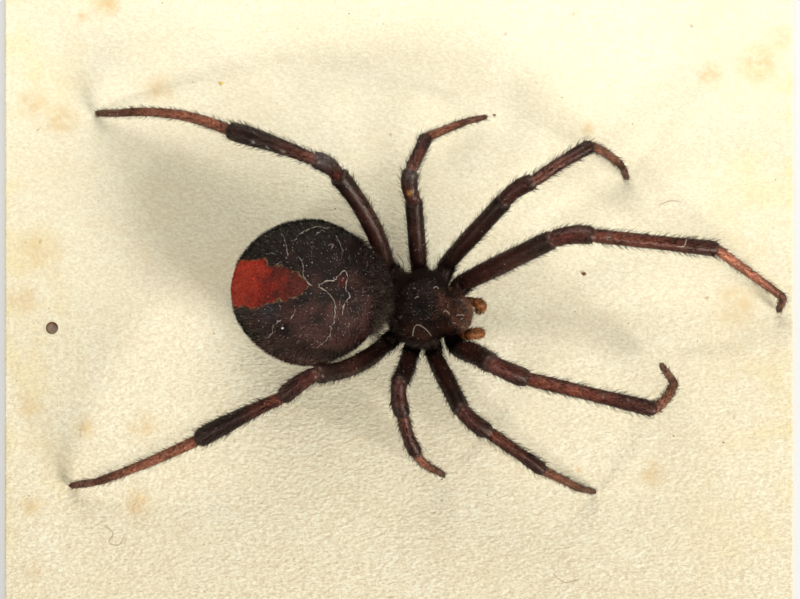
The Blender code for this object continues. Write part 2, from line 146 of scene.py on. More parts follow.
floor_material, _, floor_shader = principled("pale_floor", 0.9)
floor_shader.inputs["Base Color"].default_value = (*FLOOR_COLOUR, 1.0)
floor_shader.inputs["Emission Color"].default_value = (*WORLD_COLOUR, 1.0)
floor_shader.inputs["Emission Strength"].default_value = FLOOR_GLOW
half = FLOOR_SIDE / 2
floor_mesh = bpy.data.meshes.new("floor")
floor_mesh.from_pydata([(-half, -half, 0), (half, -half, 0), (half, half, 0), (-half, half, 0)], [], [(0, 1, 2, 3)])
floor_mesh.materials.append(floor_material)
floor = bpy.data.objects.new("floor", floor_mesh)
floor.location.z = cad_low.z
bpy.context.scene.collection.objects.link(floor)


# The mounting card
# A sheet of cream pulp board, aged and a little foxed, its fibres lying along its long
# side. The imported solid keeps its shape; only its finish is made here.
PAPER_CREAM = (0.955, 0.885, 0.635)
PAPER_WARM = (0.88, 0.76, 0.51)
PAPER_PALE = (0.98, 0.95, 0.75)
FIBRE_BROWN = (0.76, 0.63, 0.41)
FOXING_BROWN = (0.42, 0.24, 0.10)
STAIN_OCHRE = (0.80, 0.56, 0.26)
STAIN_YELLOW = (0.93, 0.76, 0.36)
STAINS = (
    # place on the card and distance across, in mm
    (-12.6, 2.7, 2.4), (-9.2, -6.2, 2.0), (12.6, 9.2, 2.1), (10.9, 8.9, 1.3), (13.4, 10.2, 1.2),
    (6.6, 7.0, 0.8), (8.85, -5.1, 1.5), (6.27, -4.97, 0.4), (11.8, 0.8, 2.3), (-9.0, -3.5, 1.6),
    (-11.0, -3.5, 1.3), (-13.0, -2.7, 1.5), (-13.2, 1.0, 1.7), (-12.9, -6.3, 1.5), (-12.8, -8.5, 1.2),
    (-11.1, 10.9, 0.6), (-10.2, 11.3, 1.6), (-12.8, 7.9, 1.6), (-11.8, 7.3, 1.8), (-8.4, 8.35, 1.5),
)
PAPER_LAYERS = {
    # how fine the noise is, the values where a layer starts and is full, how strong it is,
    # and the noise's detail and roughness
    "clouds": (130.0, 0.42, 0.72, 0.40, 4.0, 0.65),
    "pale": (420.0, 0.40, 0.66, 0.42, 6.0, 0.65),
    "ageing": (520.0, 0.46, 0.64, 0.60, 4.0, 0.7),
    "foxing": (1500.0, 0.735, 0.79, 0.55, 2.0, 0.65),
    "stains": (1900.0, 0.34, 0.58, 1.0, 5.0, 0.65),
    "wisps": (5200.0, 0.45, 0.75, 0.40, 5.0, 0.65),
    "pulp": (8600.0, 0.25, 0.75, 1.0, 3.0, 0.6),
    "fibres": (15000.0, 0.36, 0.64, 0.85, 2.0, 0.6),
}
FIBRE_STRETCH = (0.62, 1.0, 1.0)
PULP_DEPTH = 0.034 * MM
# The card is aged towards its two short edges, and its brown fibres and pulp relief grow stronger towards -Y, so it is
# darker and rougher there
AGEING_START, AGEING_END = 9 * MM, 14 * MM
TEXTURE_FOOT, TEXTURE_HEAD = -9 * MM, 8 * MM


def blend_colour(tree, share, under, over):
    """A colour that goes from under to over as share goes from 0 to 1."""
    mix = add_node(tree, "ShaderNodeMix", data_type="RGBA")
    for socket, value in ((mix.inputs[0], share), (mix.inputs[6], under), (mix.inputs[7], over)):
        if isinstance(value, bpy.types.NodeSocket):
            tree.links.new(value, socket)
        else:
            socket.default_value = (*value, 1.0)
    return mix.outputs[2]


def arithmetic(tree, operation, *values):
    """The result of one Math node on its values, each a number or a socket."""
    return add_node(tree, "ShaderNodeMath", dict(enumerate(values)), operation=operation).outputs[0]


def ramp(tree, value, low, high, bottom=0.0, top=1.0, curve="LINEAR"):
    """A value from low to high, kept between them and spread from bottom to top."""
    limits = {"Value": value, "From Min": low, "From Max": high, "To Min": bottom, "To Max": top}
    return add_node(tree, "ShaderNodeMapRange", limits, interpolation_type=curve).outputs["Result"]


def fractal_noise(tree, place, scale, detail, roughness=0.5):
    """Smooth random values, mostly from 0.3 to 0.7, finer with a larger scale."""
    values = {"Vector": place, "Scale": scale, "Detail": detail, "Roughness": roughness}
    return add_node(tree, "ShaderNodeTexNoise", values).outputs["Fac"]


def noise_share(tree, place, scale, low, high, top, detail=5.0, roughness=0.65):
    """Fractal noise spread so that low to high becomes 0 to top."""
    return ramp(tree, fractal_noise(tree, place, scale, detail, roughness), low, high, 0.0, top)


def object_place(tree):
    """The place of a point on the object, in metres."""
    return add_node(tree, "ShaderNodeTexCoord").outputs["Object"]


def add_relief(tree, shader, height, depth, strength=1.0):
    """Fine relief on a finish: a height from 0 to 1, as deep as depth."""
    bump = add_node(tree, "ShaderNodeBump", {"Height": height, "Strength": strength, "Distance": depth})
    tree.links.new(bump.outputs["Normal"], shader.inputs["Normal"])


paper, tree, shader = principled("card_paper", 0.88, Specular_IOR_Level=0.25)
place = object_place(tree)
lengthwise = add_node(tree, "ShaderNodeMapping", {"Vector": place, "Scale": FIBRE_STRETCH}).outputs["Vector"]
stain = 0.0
for x, y, across in STAINS:
    ends = {0: place, 1: (x * MM, y * MM, CARD_TOP)}
    away = add_node(tree, "ShaderNodeVectorMath", ends, operation="DISTANCE").outputs["Value"]
    stain = arithmetic(tree, "MAXIMUM", ramp(tree, away, 0.0, across * MM / 2, 1.0, 0.0, "SMOOTHSTEP"), stain)
stain = arithmetic(tree, "MULTIPLY", stain, noise_share(tree, place, *PAPER_LAYERS["stains"]))
axes = add_node(tree, "ShaderNodeSeparateXYZ", {"Vector": place}).outputs
aged = ramp(tree, arithmetic(tree, "ABSOLUTE", axes["X"]), AGEING_START, AGEING_END, curve="SMOOTHSTEP")
aged = arithmetic(tree, "MULTIPLY", aged, noise_share(tree, place, *PAPER_LAYERS["ageing"]))
texture_strength = ramp(tree, axes["Y"], TEXTURE_FOOT, TEXTURE_HEAD, 1.15, 0.62)
fibres = arithmetic(tree, "MULTIPLY", noise_share(tree, lengthwise, *PAPER_LAYERS["fibres"]), texture_strength)
pulp = arithmetic(tree, "MULTIPLY", noise_share(tree, lengthwise, *PAPER_LAYERS["pulp"]), texture_strength)
colour = PAPER_CREAM
for share, over in (
    (noise_share(tree, place, *PAPER_LAYERS["clouds"]), PAPER_WARM),
    (noise_share(tree, place, *PAPER_LAYERS["pale"]), PAPER_PALE),
    (stain, STAIN_OCHRE),
    (noise_share(tree, lengthwise, *PAPER_LAYERS["wisps"]), PAPER_WARM),
    (aged, STAIN_YELLOW),
    (fibres, FIBRE_BROWN),
    (noise_share(tree, place, *PAPER_LAYERS["foxing"]), FOXING_BROWN),
):
    colour = blend_colour(tree, share, colour, over)
tree.links.new(colour, shader.inputs["Base Color"])
add_relief(tree, shader, pulp, PULP_DEPTH)
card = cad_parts["mounting_card"]
card.data.materials.clear()
card.data.materials.append(paper)


# The pinhole, and what has settled on the card
# The pin left a hole with a pale torn lip, its wall painted dark brown as painted shade
# and lightened on one side as painted light. A few flecks of dirt, a loose hair and
# some curled fibres lie on the card; each is its own tiny lump or thread.
PIN_HOLE_PLACE = np.array((-12.15 * MM, 0.0, CARD_TOP))
PIN_HOLE_PROFILE = np.array((
    # radius, height over the card's face, both in mm, and whether floor, wall or lip
    (0.02, -0.16, 0), (0.08, -0.16, 0), (0.135, -0.155, 0), (0.185, -0.13, 1),
    (0.200, -0.06, 1), (0.212, -0.01, 1), (0.222, 0.006, 2), (0.240, 0.010, 2),
    (0.265, 0.005, 2), (0.300, -0.002, 2), (0.295, -0.010, 2), (0.23, -0.012, 2),
    (0.219, -0.030, 1), (0.219, -0.45, 1), (0.10, -0.46, 1), (0.02, -0.46, 1),
))
# The floor's, the wall's and the lip's tints; the wall's dark brown is painted shade
HOLE_TINTS = np.array(((0.38, 0.285, 0.205), (0.19, 0.080, 0.030), (0.86, 0.77, 0.53)))
HOLE_COLUMNS = 48
HOLE_FLOOR_ROWS = 3
HOLE_FLOOR_SHIFT = np.array((0.030, -0.032)) * MM
FLECKS = (
    # place on the card, across, height, colour
    ((6.47, 1.89), 0.16, 0.06, (0.20, 0.07, 0.03)),
    ((3.33, 7.45), 0.10, 0.04, (0.16, 0.10, 0.05)),
    ((-6.23, 8.57), 0.13, 0.05, (0.75, 0.55, 0.10)),
)
FLECK_ROWS, FLECK_COLUMNS = 7, 12
DUST_COUNT = 46
DUST_REACH = (13.4, 11.6)
DUST_ACROSS, DUST_HEIGHT = (0.025, 0.055), (0.01, 0.02)
DUST_COLOURS = ((0.20, 0.12, 0.06), (0.32, 0.24, 0.15), (0.07, 0.05, 0.04))
FIBRES = (
    # places on the card in mm, radius in mm, colour
    (((-0.08, 2.62), (0.14, 2.30), (0.16, 1.96)), 0.010, (0.06, 0.035, 0.02)),
    (((-10.3, -6.9), (-10.0, -7.2), (-10.15, -7.5), (-9.8, -7.6), (-9.6, -7.3)), 0.009, (0.45, 0.33, 0.19)),
    (((9.1, 4.3), (9.5, 4.45), (9.9, 4.4)), 0.008, (0.50, 0.38, 0.24)),
    (((5.4, -8.6), (5.8, -8.9), (6.3, -8.8)), 0.008, (0.42, 0.30, 0.18)),
)


def stacked(*parts):
    """Coordinates side by side on a last axis, each spread to the shape of them all."""
    return np.stack(np.broadcast_arrays(*parts), axis=-1)


def unit_vectors(vectors):
    """Each vector of a row of them, made one long."""
    return vectors / np.linalg.norm(vectors, axis=1, keepdims=True)


def turns(count):
    """The angles of even steps round a circle."""
    return np.linspace(0, 2 * math.pi, count, endpoint=False)


def path_steps(path):
    """The distance from each point of a path to the next."""
    return np.linalg.norm(np.diff(path, axis=0), axis=1)


def summed(steps):
    """The sum of the steps before each point, which is 0 at the first."""
    return np.concatenate(([0], np.cumsum(steps)))


def bell(*distances):
    """1 where every distance is 0, and e to the power of minus their squares elsewhere."""
    return np.exp(-sum(distance ** 2 for distance in distances))


def patch(x, y, middle, reach):
    """A soft patch of a surface: 1 at its middle, falling as a bell over its reach each way."""
    return bell((x - middle[0]) / reach[0], (y - middle[1]) / reach[1])


def tinged(tint, over, share):
    """A tint moved towards another, by a share from 0 to 1 at each point."""
    return np.asarray(tint) + np.subtract(over, tint) * share[..., None]


def mesh_object(name, faces, material, tints=None):
    """A mesh from its vertices, three-sided faces and four-sided faces, with a colour at each
    vertex. It rides on the one body."""
    vertices, triangles, quads = faces
    triangles = np.asarray(triangles, dtype=np.int32).reshape(-1, 3)
    quads = np.asarray(quads, dtype=np.int32).reshape(-1, 4)
    corners = np.concatenate((triangles.ravel(), quads.ravel()))
    sizes = np.concatenate((np.full(len(triangles), 3), np.full(len(quads), 4)))
    mesh = bpy.data.meshes.new(name)
    mesh.vertices.add(len(vertices))
    mesh.vertices.foreach_set("co", np.asarray(vertices, dtype=np.float32).ravel())
    mesh.loops.add(len(corners))
    mesh.loops.foreach_set("vertex_index", corners)
    mesh.polygons.add(len(sizes))
    mesh.polygons.foreach_set("loop_start", summed(sizes)[:-1].astype(np.int32))
    mesh.update(calc_edges=True)
    mesh.shade_smooth()
    mesh.materials.append(material)
    if tints is not None:
        layer = mesh.color_attributes.new("tint", "FLOAT_COLOR", "POINT")
        colours = np.concatenate((tints, np.ones((len(tints), 1))), axis=1)
        layer.data.foreach_set("color", colours.astype(np.float32).ravel())
    obj = bpy.data.objects.new(name, mesh)
    bpy.context.scene.collection.objects.link(obj)
    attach(obj, "root")
    return obj


def with_poles(grid):
    """The points of a closed grid, or their tints, with the means that its two poles take."""
    return np.concatenate((grid.reshape(-1, 3), [grid[0].mean(axis=0)], [grid[-1].mean(axis=0)]))


def closed_grid(points):
    """Faces of a grid whose columns wrap round, with a pole closing its first and last row."""
    rows, columns = points.shape[:2]
    index = np.arange(rows * columns).reshape(rows, columns)
    beside = np.roll(index, -1, axis=1)
    quads = stacked(index[:-1], beside[:-1], beside[1:], index[1:]).reshape(-1, 4)
    start = stacked(rows * columns, beside[0], index[0])
    end = stacked(rows * columns + 1, index[-1], beside[-1])
    return with_poles(points), np.concatenate((start, end)), quads


def smooth_path(places, step):
    """Points about step apart on a Catmull-Rom curve through the places."""
    places = np.asarray(places, dtype=float)
    ends = np.concatenate(([2 * places[0] - places[1]], places, [2 * places[-1] - places[-2]]))
    pieces = []
    for before, start, end, after in zip(ends[:-3], ends[1:-2], ends[2:-1], ends[3:]):
        count = max(2, int(np.linalg.norm(end - start) / step))
        t = (np.arange(count) / count)[:, None]
        cubic = 3 * (start - end) + after - before
        square = 2 * before - 5 * start + 4 * end - after
        pieces.append(0.5 * (2 * start + (end - before) * t + square * t ** 2 + cubic * t ** 3))
    return np.concatenate((*pieces, places[-1:]))


def carried_frames(tangents):
    """Two directions across each tangent, carried along the path without twisting."""
    first = np.cross(tangents[0], (0.0, 0.0, 1.0))
    if np.linalg.norm(first) < 1e-3:
        first = np.cross(tangents[0], (0.0, 1.0, 0.0))
    sides = [first / np.linalg.norm(first)]
    for before, tangent in zip(tangents[:-1], tangents[1:]):
        side = sides[-1]
        axis = np.cross(before, tangent)
        sine, cosine = np.linalg.norm(axis), float(before @ tangent)
        if sine > 1e-9:
            axis = axis / sine
            side = side * cosine + np.cross(axis, side) * sine + axis * (axis @ side) * (1 - cosine)
        side = side - tangent * (side @ tangent)
        sides.append(side / np.linalg.norm(side))
    sides = np.array(sides)
    return sides, np.cross(tangents, sides)


def path_tangents(path):
    """The direction of a path at each of its points, from the points on each side."""
    return unit_vectors(np.gradient(path, summed(path_steps(path)), axis=0))


def tube(path, radii, columns, tangents=None, planes=None):
    """Circles carried along a path. Where planes are given, each circle slides along the path
    onto its own plane, as at a mitred bend."""
    tangents = path_tangents(path) if tangents is None else tangents
    sides, ups = carried_frames(tangents)
    turn = turns(columns)[None, :, None]
    spokes = (sides[:, None] * np.cos(turn) + ups[:, None] * np.sin(turn)) * np.asarray(radii)[:, None, None]
    if planes is not None:
        slide = np.einsum("rck,rk->rc", spokes, planes) / np.einsum("rk,rk->r", tangents, planes)[:, None]
        spokes = spokes - tangents[:, None] * slide[..., None]
    return path[:, None] + spokes, sides, ups


def thread(path, radius):
    """A round thread of one thickness along a path."""
    return tube(path, np.full(len(path), radius), 8)[0]


def grid_piece(name, grids, material):
    """One piece of closed grids, each given as its points with one tint or a tint for each."""
    parts, count = [], 0
    for points, tint in grids:
        vertices, triangles, quads = closed_grid(points)
        tints = with_poles(np.broadcast_to(tint, points.shape))
        parts.append((vertices, triangles + count, quads + count, tints))
        count += len(vertices)
    *faces, tints = (np.concatenate(part) for part in zip(*parts))
    return mesh_object(name, faces, material, tints)


def soft_noise(points, size, seed, waves=10):
    """A smooth random height, about -1 to 1: a sum of sine waves about size long, each its own way."""
    rng = np.random.default_rng(seed)
    ways = unit_vectors(rng.normal(size=(waves, 3)))
    numbers = 2 * math.pi / (size * rng.uniform(0.6, 1.6, waves))
    phases = rng.uniform(0, 2 * math.pi, waves)
    total = np.zeros(points.shape[:-1])
    for way, number, phase in zip(ways, numbers, phases):
        total += np.sin(points @ way * number + phase)
    return total / math.sqrt(waves)


def ripples(points, layers, seed=0):
    """The sum of a few soft noises, each given by its depth, its size and its own seed."""
    return sum(depth * soft_noise(points, size, seed + own) for depth, size, own in layers)


# How far a surface has turned from the eye where its gloss starts to fade and where it has
# faded, and the share that is left
FADE_START, FADE_END, GLOSS_LEFT = 0.25, 0.80, 0.08


def fading_gloss(tree, shader, level):
    """Gloss that dies away where the surface turns from the eye, as the coat hides it there. The
    socket's own value is the mean, for a viewer that can't follow the fading."""
    socket = shader.inputs["Specular IOR Level"]
    socket.default_value = level / 2
    facing = add_node(tree, "ShaderNodeLayerWeight", {"Blend": 0.5}).outputs["Facing"]
    tree.links.new(ramp(tree, facing, FADE_START, FADE_END, level, level * GLOSS_LEFT), socket)


def mesh_tint(tree):
    """The colour that the mesh carries at each of its vertices."""
    return add_node(tree, "ShaderNodeAttribute", attribute_name="tint").outputs["Color"]


def shaded(tree, colour, shade):
    """A colour made darker or lighter by a factor."""
    return add_node(tree, "ShaderNodeVectorMath", {0: colour, 1: shade}, operation="MULTIPLY").outputs["Vector"]


def tinted_material(name, roughness, relief_size, relief_depth, mottle=0.25, gloss=None, **values):
    """A finish whose colour is the mesh's own tint, mottled, with fine relief of a given size."""
    material, tree, shader = principled(name, roughness, **values)
    if gloss is not None:
        fading_gloss(tree, shader, gloss)
    place = object_place(tree)
    shade = ramp(tree, fractal_noise(tree, place, 0.25 / relief_size, 5.0, 0.6), 0.3, 0.7, 1 - mottle, 1 + mottle)
    tree.links.new(shaded(tree, mesh_tint(tree), shade), shader.inputs["Base Color"])
    add_relief(tree, shader, fractal_noise(tree, place, 1.0 / relief_size, 3.0, 0.6), relief_depth, 0.6)
    return material


around = turns(HOLE_COLUMNS)[None, :]
out, rise, part = np.split(PIN_HOLE_PROFILE, 3, axis=1)
out, rise = out * MM, rise * MM
ragged = 0.25 * np.sin(3 * around + 0.4) + 0.18 * np.sin(7 * around + 2.0)
rise = rise * np.where(rise > 0, 1 + ragged, 1.0)
hole = stacked(out * np.cos(around), out * np.sin(around), rise) + PIN_HOLE_PLACE
hole[:HOLE_FLOOR_ROWS, :, :2] += HOLE_FLOOR_SHIFT
hole_tints = np.repeat(HOLE_TINTS[part.astype(int)], HOLE_COLUMNS, axis=1)
# Towards +X and -Y the wall is painted lighter, up to the floor's tint, as painted light; elsewhere its dark brown is
# painted shade
lit_wall = np.clip(np.cos(around + math.pi / 4), 0, 1) * (part == 1)
hole_tints = tinged(hole_tints, HOLE_TINTS[0], lit_wall)
lip_material = tinted_material("torn_paper", 0.9, 0.05 * MM, 0.01 * MM, mottle=0.12)
pin_hole = grid_piece("pin_hole_lip", [(hole[::-1], hole_tints[::-1])], lip_material)

fleck_material = tinted_material("dirt_flecks", 0.8, 0.05 * MM, 0.01 * MM)
rng = np.random.default_rng(5)
flecks = list(FLECKS)
for number in range(DUST_COUNT):
    spot = tuple(rng.uniform(-reach, reach) for reach in DUST_REACH)
    flecks.append((spot, rng.uniform(*DUST_ACROSS), rng.uniform(*DUST_HEIGHT), DUST_COLOURS[number % 3]))
turn = turns(FLECK_COLUMNS)[None, :]
fall = np.linspace(0.08, 0.92, FLECK_ROWS)[:, None] * math.pi
ball = stacked(np.sin(fall) * np.cos(turn), -np.sin(fall) * np.sin(turn), np.cos(fall))
settled = []
for number, (spot, size, height, tint) in enumerate(flecks):
    lump = ball * (1 + 0.22 * soft_noise(ball, 1.6, number))[..., None] * (size / 2, size / 2 * 0.8, height) * MM
    settled.append((lump + np.array((spot[0] * MM, spot[1] * MM, CARD_TOP + height * 0.3 * MM)), tint))
for places, radius, tint in FIBRES:
    flat = smooth_path(places, 0.06) * MM
    path = np.column_stack((flat, np.full(len(flat), CARD_TOP + radius * 0.8 * MM)))
    settled.append((thread(path, radius * MM), tint))
card_flecks = grid_piece("card_flecks", settled, fleck_material)


# The abdomen
# A soft near-black ball that has shrunk a little in drying. A jagged red stripe runs
# down its back to the spinnerets, and the skin lies just inside its coat of short hair.
ABDOMEN_CENTRE = np.array((-3.28, 1.26, 2.42)) * MM + np.array((0.0, 0.0, CARD_TOP))
ABDOMEN_HEADING = -4.0
ABDOMEN_REACH = {"front": 2.95 * MM, "rear": 2.56 * MM, "side": 2.56 * MM, "top": 2.48 * MM, "under": 2.36 * MM}
ABDOMEN_NARROWING = 0.25
ABDOMEN_SHOULDER = 0.09
ABDOMEN_FRAME = (ABDOMEN_HEADING, ABDOMEN_CENTRE)
ABDOMEN_COAT = 0.05 * MM
ABDOMEN_DIMPLES = ((0.25, 0.17), (0.25, -0.17), (-0.12, 0.2), (-0.12, -0.2))
DIMPLE_REACH, DIMPLE_DEPTH = (0.03, 0.03), 0.010
# Depth, size and seed of each layer of ripples, and the top that they are kept under
ABDOMEN_RIPPLES, RIPPLE_TOP = ((0.006, 0.9, 11), (0.0025, 0.25, 12)), 0.008
ABDOMEN_ROUGHNESS, ABDOMEN_GLOSS = 0.42, 0.24
WARM_GLOSS = (1.0, 0.78, 0.64, 1.0)
WRINKLE_DEPTH = 0.055 * MM
SKIN_NOISES = {
    # how fine each noise of the skin is over one mm, its detail and its roughness
    "jag": (3.2, 6.0, 0.7),
    "breaks": (5.0, 3.0, 0.5),
    "smoke": (2.2, 5.0, 0.7),
    "mottle": (17.0, 5.0, 0.7),
    "wrinkles": (13.0, 6.0, 0.7),
}
ABDOMEN_BLACK = np.array((0.0060, 0.0040, 0.0037))
ABDOMEN_PURPLE = np.array((0.056, 0.0215, 0.0180))
ABDOMEN_SHEEN_GREY = np.array((0.060, 0.055, 0.062))
STRIPE_RED = (0.43, 0.027, 0.011)
STRIPE_BROWN = (0.050, 0.010, 0.007)
STRIPE_EDGE = (0.25, 0.17, 0.08)
SPECK_PALE_AND_GLINT = (0.26, 0.21, 0.17)
LEAF_RED = np.array((0.070, 0.006, 0.005))
LEAF_MIDDLE, LEAF_REACH = (1.31, 0.47), (0.11, 0.20)
# A patch of painted grey sheen under the stripe's left edge: its middle and reach, in mm
SHEEN_MIDDLE, SHEEN_REACH = (-1.15, -0.75), (0.35, 0.35)
# The stripe's half width and middle, in mm, at angles up from the rear horizon
STRIPE_ANGLES = (-58.0, -45.0, -28.0, 0.0, 17.0, 32.0, 50.0, 57.0, 70.0, 83.0, 91.0, 95.0, 103.0)
STRIPE_HALF_WIDTHS = (-0.3, 0.15, 0.35, 0.66, 0.84, 0.80, 0.88, 0.68, 0.61, 0.44, 0.25, 0.0, -0.3)
STRIPE_MIDDLE_REAR, STRIPE_MIDDLE_FRONT = -0.02, 0.26
STRIPE_JAG = 0.13
# A node's curve runs from 0 to 1, so the half widths are read as shares of this range
LEAST_HALF_WIDTH, HALF_WIDTH_RANGE = -0.3, 1.3
ABDOMEN_HAIRS = 17000


def turned(points, heading, origin=0.0):
    """Points of a frame that is turned by a heading about +Z and moved to its origin."""
    cosine, sine = math.cos(math.radians(heading)), math.sin(math.radians(heading))
    matrix = np.array(((cosine, -sine, 0.0), (sine, cosine, 0.0), (0.0, 0.0, 1.0)))
    return points @ matrix.T + np.asarray(origin)


def abdomen_local(unit, sink):
    """The ball of directions, stretched each way, narrowed in front, and rippled by drying."""
    x, y, z = np.moveaxis(unit, -1, 0)
    length = np.where(x > 0, ABDOMEN_REACH["front"], ABDOMEN_REACH["rear"]) - sink
    height = np.where(z > 0, ABDOMEN_REACH["top"], ABDOMEN_REACH["under"]) - sink
    width = (ABDOMEN_REACH["side"] - sink) * (1 - ABDOMEN_NARROWING * np.maximum(x, 0) ** 2)
    shoulder = 1 + ABDOMEN_SHOULDER * x * y ** 2
    ball = stacked(x * length * shoulder, y * width * shoulder, z * height)
    ripple = np.minimum(ripples(unit, ABDOMEN_RIPPLES), RIPPLE_TOP)
    pits = sum(patch(x, y, dimple, DIMPLE_REACH) for dimple in ABDOMEN_DIMPLES) * (z > 0)
    return ball * (1 + ripple - DIMPLE_DEPTH * pits)[..., None]


def ball_directions(rows, columns):
    """Unit directions round the X axis, from the front pole to the rear one."""
    fall = (np.arange(rows) + 0.5)[:, None] / rows * math.pi
    turn = np.arange(columns)[None, :] / columns * 2 * math.pi
    return stacked(np.cos(fall), np.sin(fall) * np.cos(turn), np.sin(fall) * np.sin(turn))


def stripe_depth(local):
    """How far inside the stripe's edge a point is, in mm, below 0 outside it."""
    x, y, z = np.moveaxis(local / MM, -1, 0)
    angle = np.degrees(np.arctan2(z, -x))
    angle = np.where(angle < -90, 180, angle)
    half_width = np.interp(angle, STRIPE_ANGLES, STRIPE_HALF_WIDTHS)
    ends = (STRIPE_ANGLES[0], STRIPE_ANGLES[-1])
    middle = np.interp(angle, ends, (STRIPE_MIDDLE_REAR, STRIPE_MIDDLE_FRONT))
    return half_width - np.abs(y - middle)


def abdomen_tint(local):
    """Near-black, warmer and lighter low on the right, partly the skin's own tone and partly
    painted light, with a painted grey sheen under the stripe's left edge and a small dark
    red leaf near the front of the back."""
    x, y, z = np.moveaxis(local / MM, -1, 0)
    # Warmer and lighter low on the right: partly the skin's own tone, partly painted light on the side that the low
    # lamp lights
    warm_and_lit = np.clip(0.19 + 0.14 * x - 0.43 * y + 0.50 * soft_noise(local / MM, 0.9, 21), 0, 1)
    tint = tinged(ABDOMEN_BLACK, ABDOMEN_PURPLE, warm_and_lit)
    # A painted grey sheen under the stripe's left edge
    tint = tinged(tint, ABDOMEN_SHEEN_GREY, patch(x, y, SHEEN_MIDDLE, SHEEN_REACH) * 0.5)
    return tinged(tint, LEAF_RED, patch(x, y, LEAF_MIDDLE, LEAF_REACH) * (z > 0))


abdomen_skin, tree, shader = principled("abdomen_skin", ABDOMEN_ROUGHNESS, Specular_Tint=WARM_GLOSS)
fading_gloss(tree, shader, ABDOMEN_GLOSS)
mapping = {
    "Vector": object_place(tree),
    "Location": tuple(ABDOMEN_CENTRE),
    "Rotation": (0.0, 0.0, math.radians(ABDOMEN_HEADING)),
    "Scale": (MM, MM, MM),
}
local = add_node(tree, "ShaderNodeMapping", mapping, vector_type="TEXTURE").outputs["Vector"]
axes = add_node(tree, "ShaderNodeSeparateXYZ", {"Vector": local}).outputs
angle = arithmetic(tree, "ARCTAN2", axes["Z"], arithmetic(tree, "MULTIPLY", axes["X"], -1.0))
low, high = STRIPE_ANGLES[0], STRIPE_ANGLES[-1]
along_stripe = ramp(tree, angle, math.radians(low), math.radians(high))
width_curve = add_node(tree, "ShaderNodeFloatCurve", {"Value": along_stripe})
curve = width_curve.mapping.curves[0]
while len(curve.points) > 2:
    curve.points.remove(curve.points[1])
curve.points[0].location = (0.0, 0.0)
curve.points[1].location = (1.0, 0.0)
for stripe_angle, half_width in zip(STRIPE_ANGLES[1:-1], STRIPE_HALF_WIDTHS[1:-1]):
    curve.points.new((stripe_angle - low) / (high - low), (half_width - LEAST_HALF_WIDTH) / HALF_WIDTH_RANGE)
for point in curve.points:
    point.handle_type = "VECTOR"
width_curve.mapping.update()
half_width = arithmetic(tree, "MULTIPLY_ADD", width_curve.outputs[0], HALF_WIDTH_RANGE, LEAST_HALF_WIDTH)
middle = ramp(tree, along_stripe, 0.0, 1.0, STRIPE_MIDDLE_REAR, STRIPE_MIDDLE_FRONT)
off_middle = arithmetic(tree, "ABSOLUTE", arithmetic(tree, "SUBTRACT", axes["Y"], middle))
jag = ramp(tree, fractal_noise(tree, local, *SKIN_NOISES["jag"]), 0.3, 0.7, -STRIPE_JAG, STRIPE_JAG)
edge = arithmetic(tree, "ADD", arithmetic(tree, "SUBTRACT", half_width, off_middle), jag)
inside = ramp(tree, edge, -0.015, 0.03)
edge_line = ramp(tree, arithmetic(tree, "ABSOLUTE", edge), 0.01, 0.045, 0.75, 0.0)
breaks = ramp(tree, fractal_noise(tree, local, *SKIN_NOISES["breaks"]), 0.42, 0.58)
broken_line = arithmetic(tree, "MULTIPLY", edge_line, breaks)
smoke = arithmetic(tree, "MULTIPLY_ADD", fractal_noise(tree, local, *SKIN_NOISES["smoke"]), 0.55, along_stripe)
smoke = ramp(tree, smoke, 0.84, 1.10, 0.0, 0.92)
mottle = ramp(tree, fractal_noise(tree, local, *SKIN_NOISES["mottle"]), 0.3, 0.7, 0.2, 1.8)
red = shaded(tree, blend_colour(tree, smoke, STRIPE_RED, STRIPE_BROWN), mottle)
# Pale specks in the skin, partly dust and partly painted glints
cells = {"Vector": local, "Scale": 7.0, "Randomness": 1.0}
grain = ramp(tree, add_node(tree, "ShaderNodeTexVoronoi", cells).outputs["Distance"], 0.07, 0.13, 0.8, 0.0)
grain = arithmetic(tree, "MULTIPLY", grain, noise_share(tree, local, 2.6, 0.42, 0.60, 1.0))
colour = shaded(tree, mesh_tint(tree), mottle)
for share, over in ((grain, SPECK_PALE_AND_GLINT), (inside, red), (broken_line, STRIPE_EDGE)):
    colour = blend_colour(tree, share, colour, over)
tree.links.new(colour, shader.inputs["Base Color"])
add_relief(tree, shader, fractal_noise(tree, local, *SKIN_NOISES["wrinkles"]), WRINKLE_DEPTH, 0.9)

skin = abdomen_local(ball_directions(210, 300), ABDOMEN_COAT)
abdomen = grid_piece("abdomen_skin", [(turned(skin, *ABDOMEN_FRAME), abdomen_tint(skin))], abdomen_skin)
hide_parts("abdomen")


# The abdomen's coat
# Short dark hairs that lie back towards the spinnerets, red over the stripe. Each hair
# is a three-sided spike with one bend, its root sunk in the skin.
COAT_GIRTHS = (0.005, 0.0075)
COAT_LENGTHS = (0.08, 0.19)
COAT_LIFTS = (0.3, 1.15)
COAT_LIE, COAT_STRAY = (-0.8, 0.0, -0.55), 0.38
# The coat is darker than the skin, and over the stripe it is lower and shorter
COAT_SHADE, STRIPE_LIFT, STRIPE_LENGTH = 0.45, 0.6, 0.7
COAT_BROWN = np.array((0.062, 0.042, 0.031))
COAT_PALE_AND_GLINT = np.array((0.36, 0.295, 0.235))
RED_HAIR_SHADE, OWN_SHADES = 0.8, (0.4, 1.3)
# How low on the ball the hairs still grow, and the share of them that is missing at its top
COAT_FOOT, CROWN_THINNING = -0.93, 0.5
# The share of brown hairs, of pale ones, and of the pale ones that the front has besides; the pale ones are partly
# painted glints on the coat
BROWN_SHARE, PALE_SHARE, PALE_IN_FRONT = 0.14, 0.09, 0.16
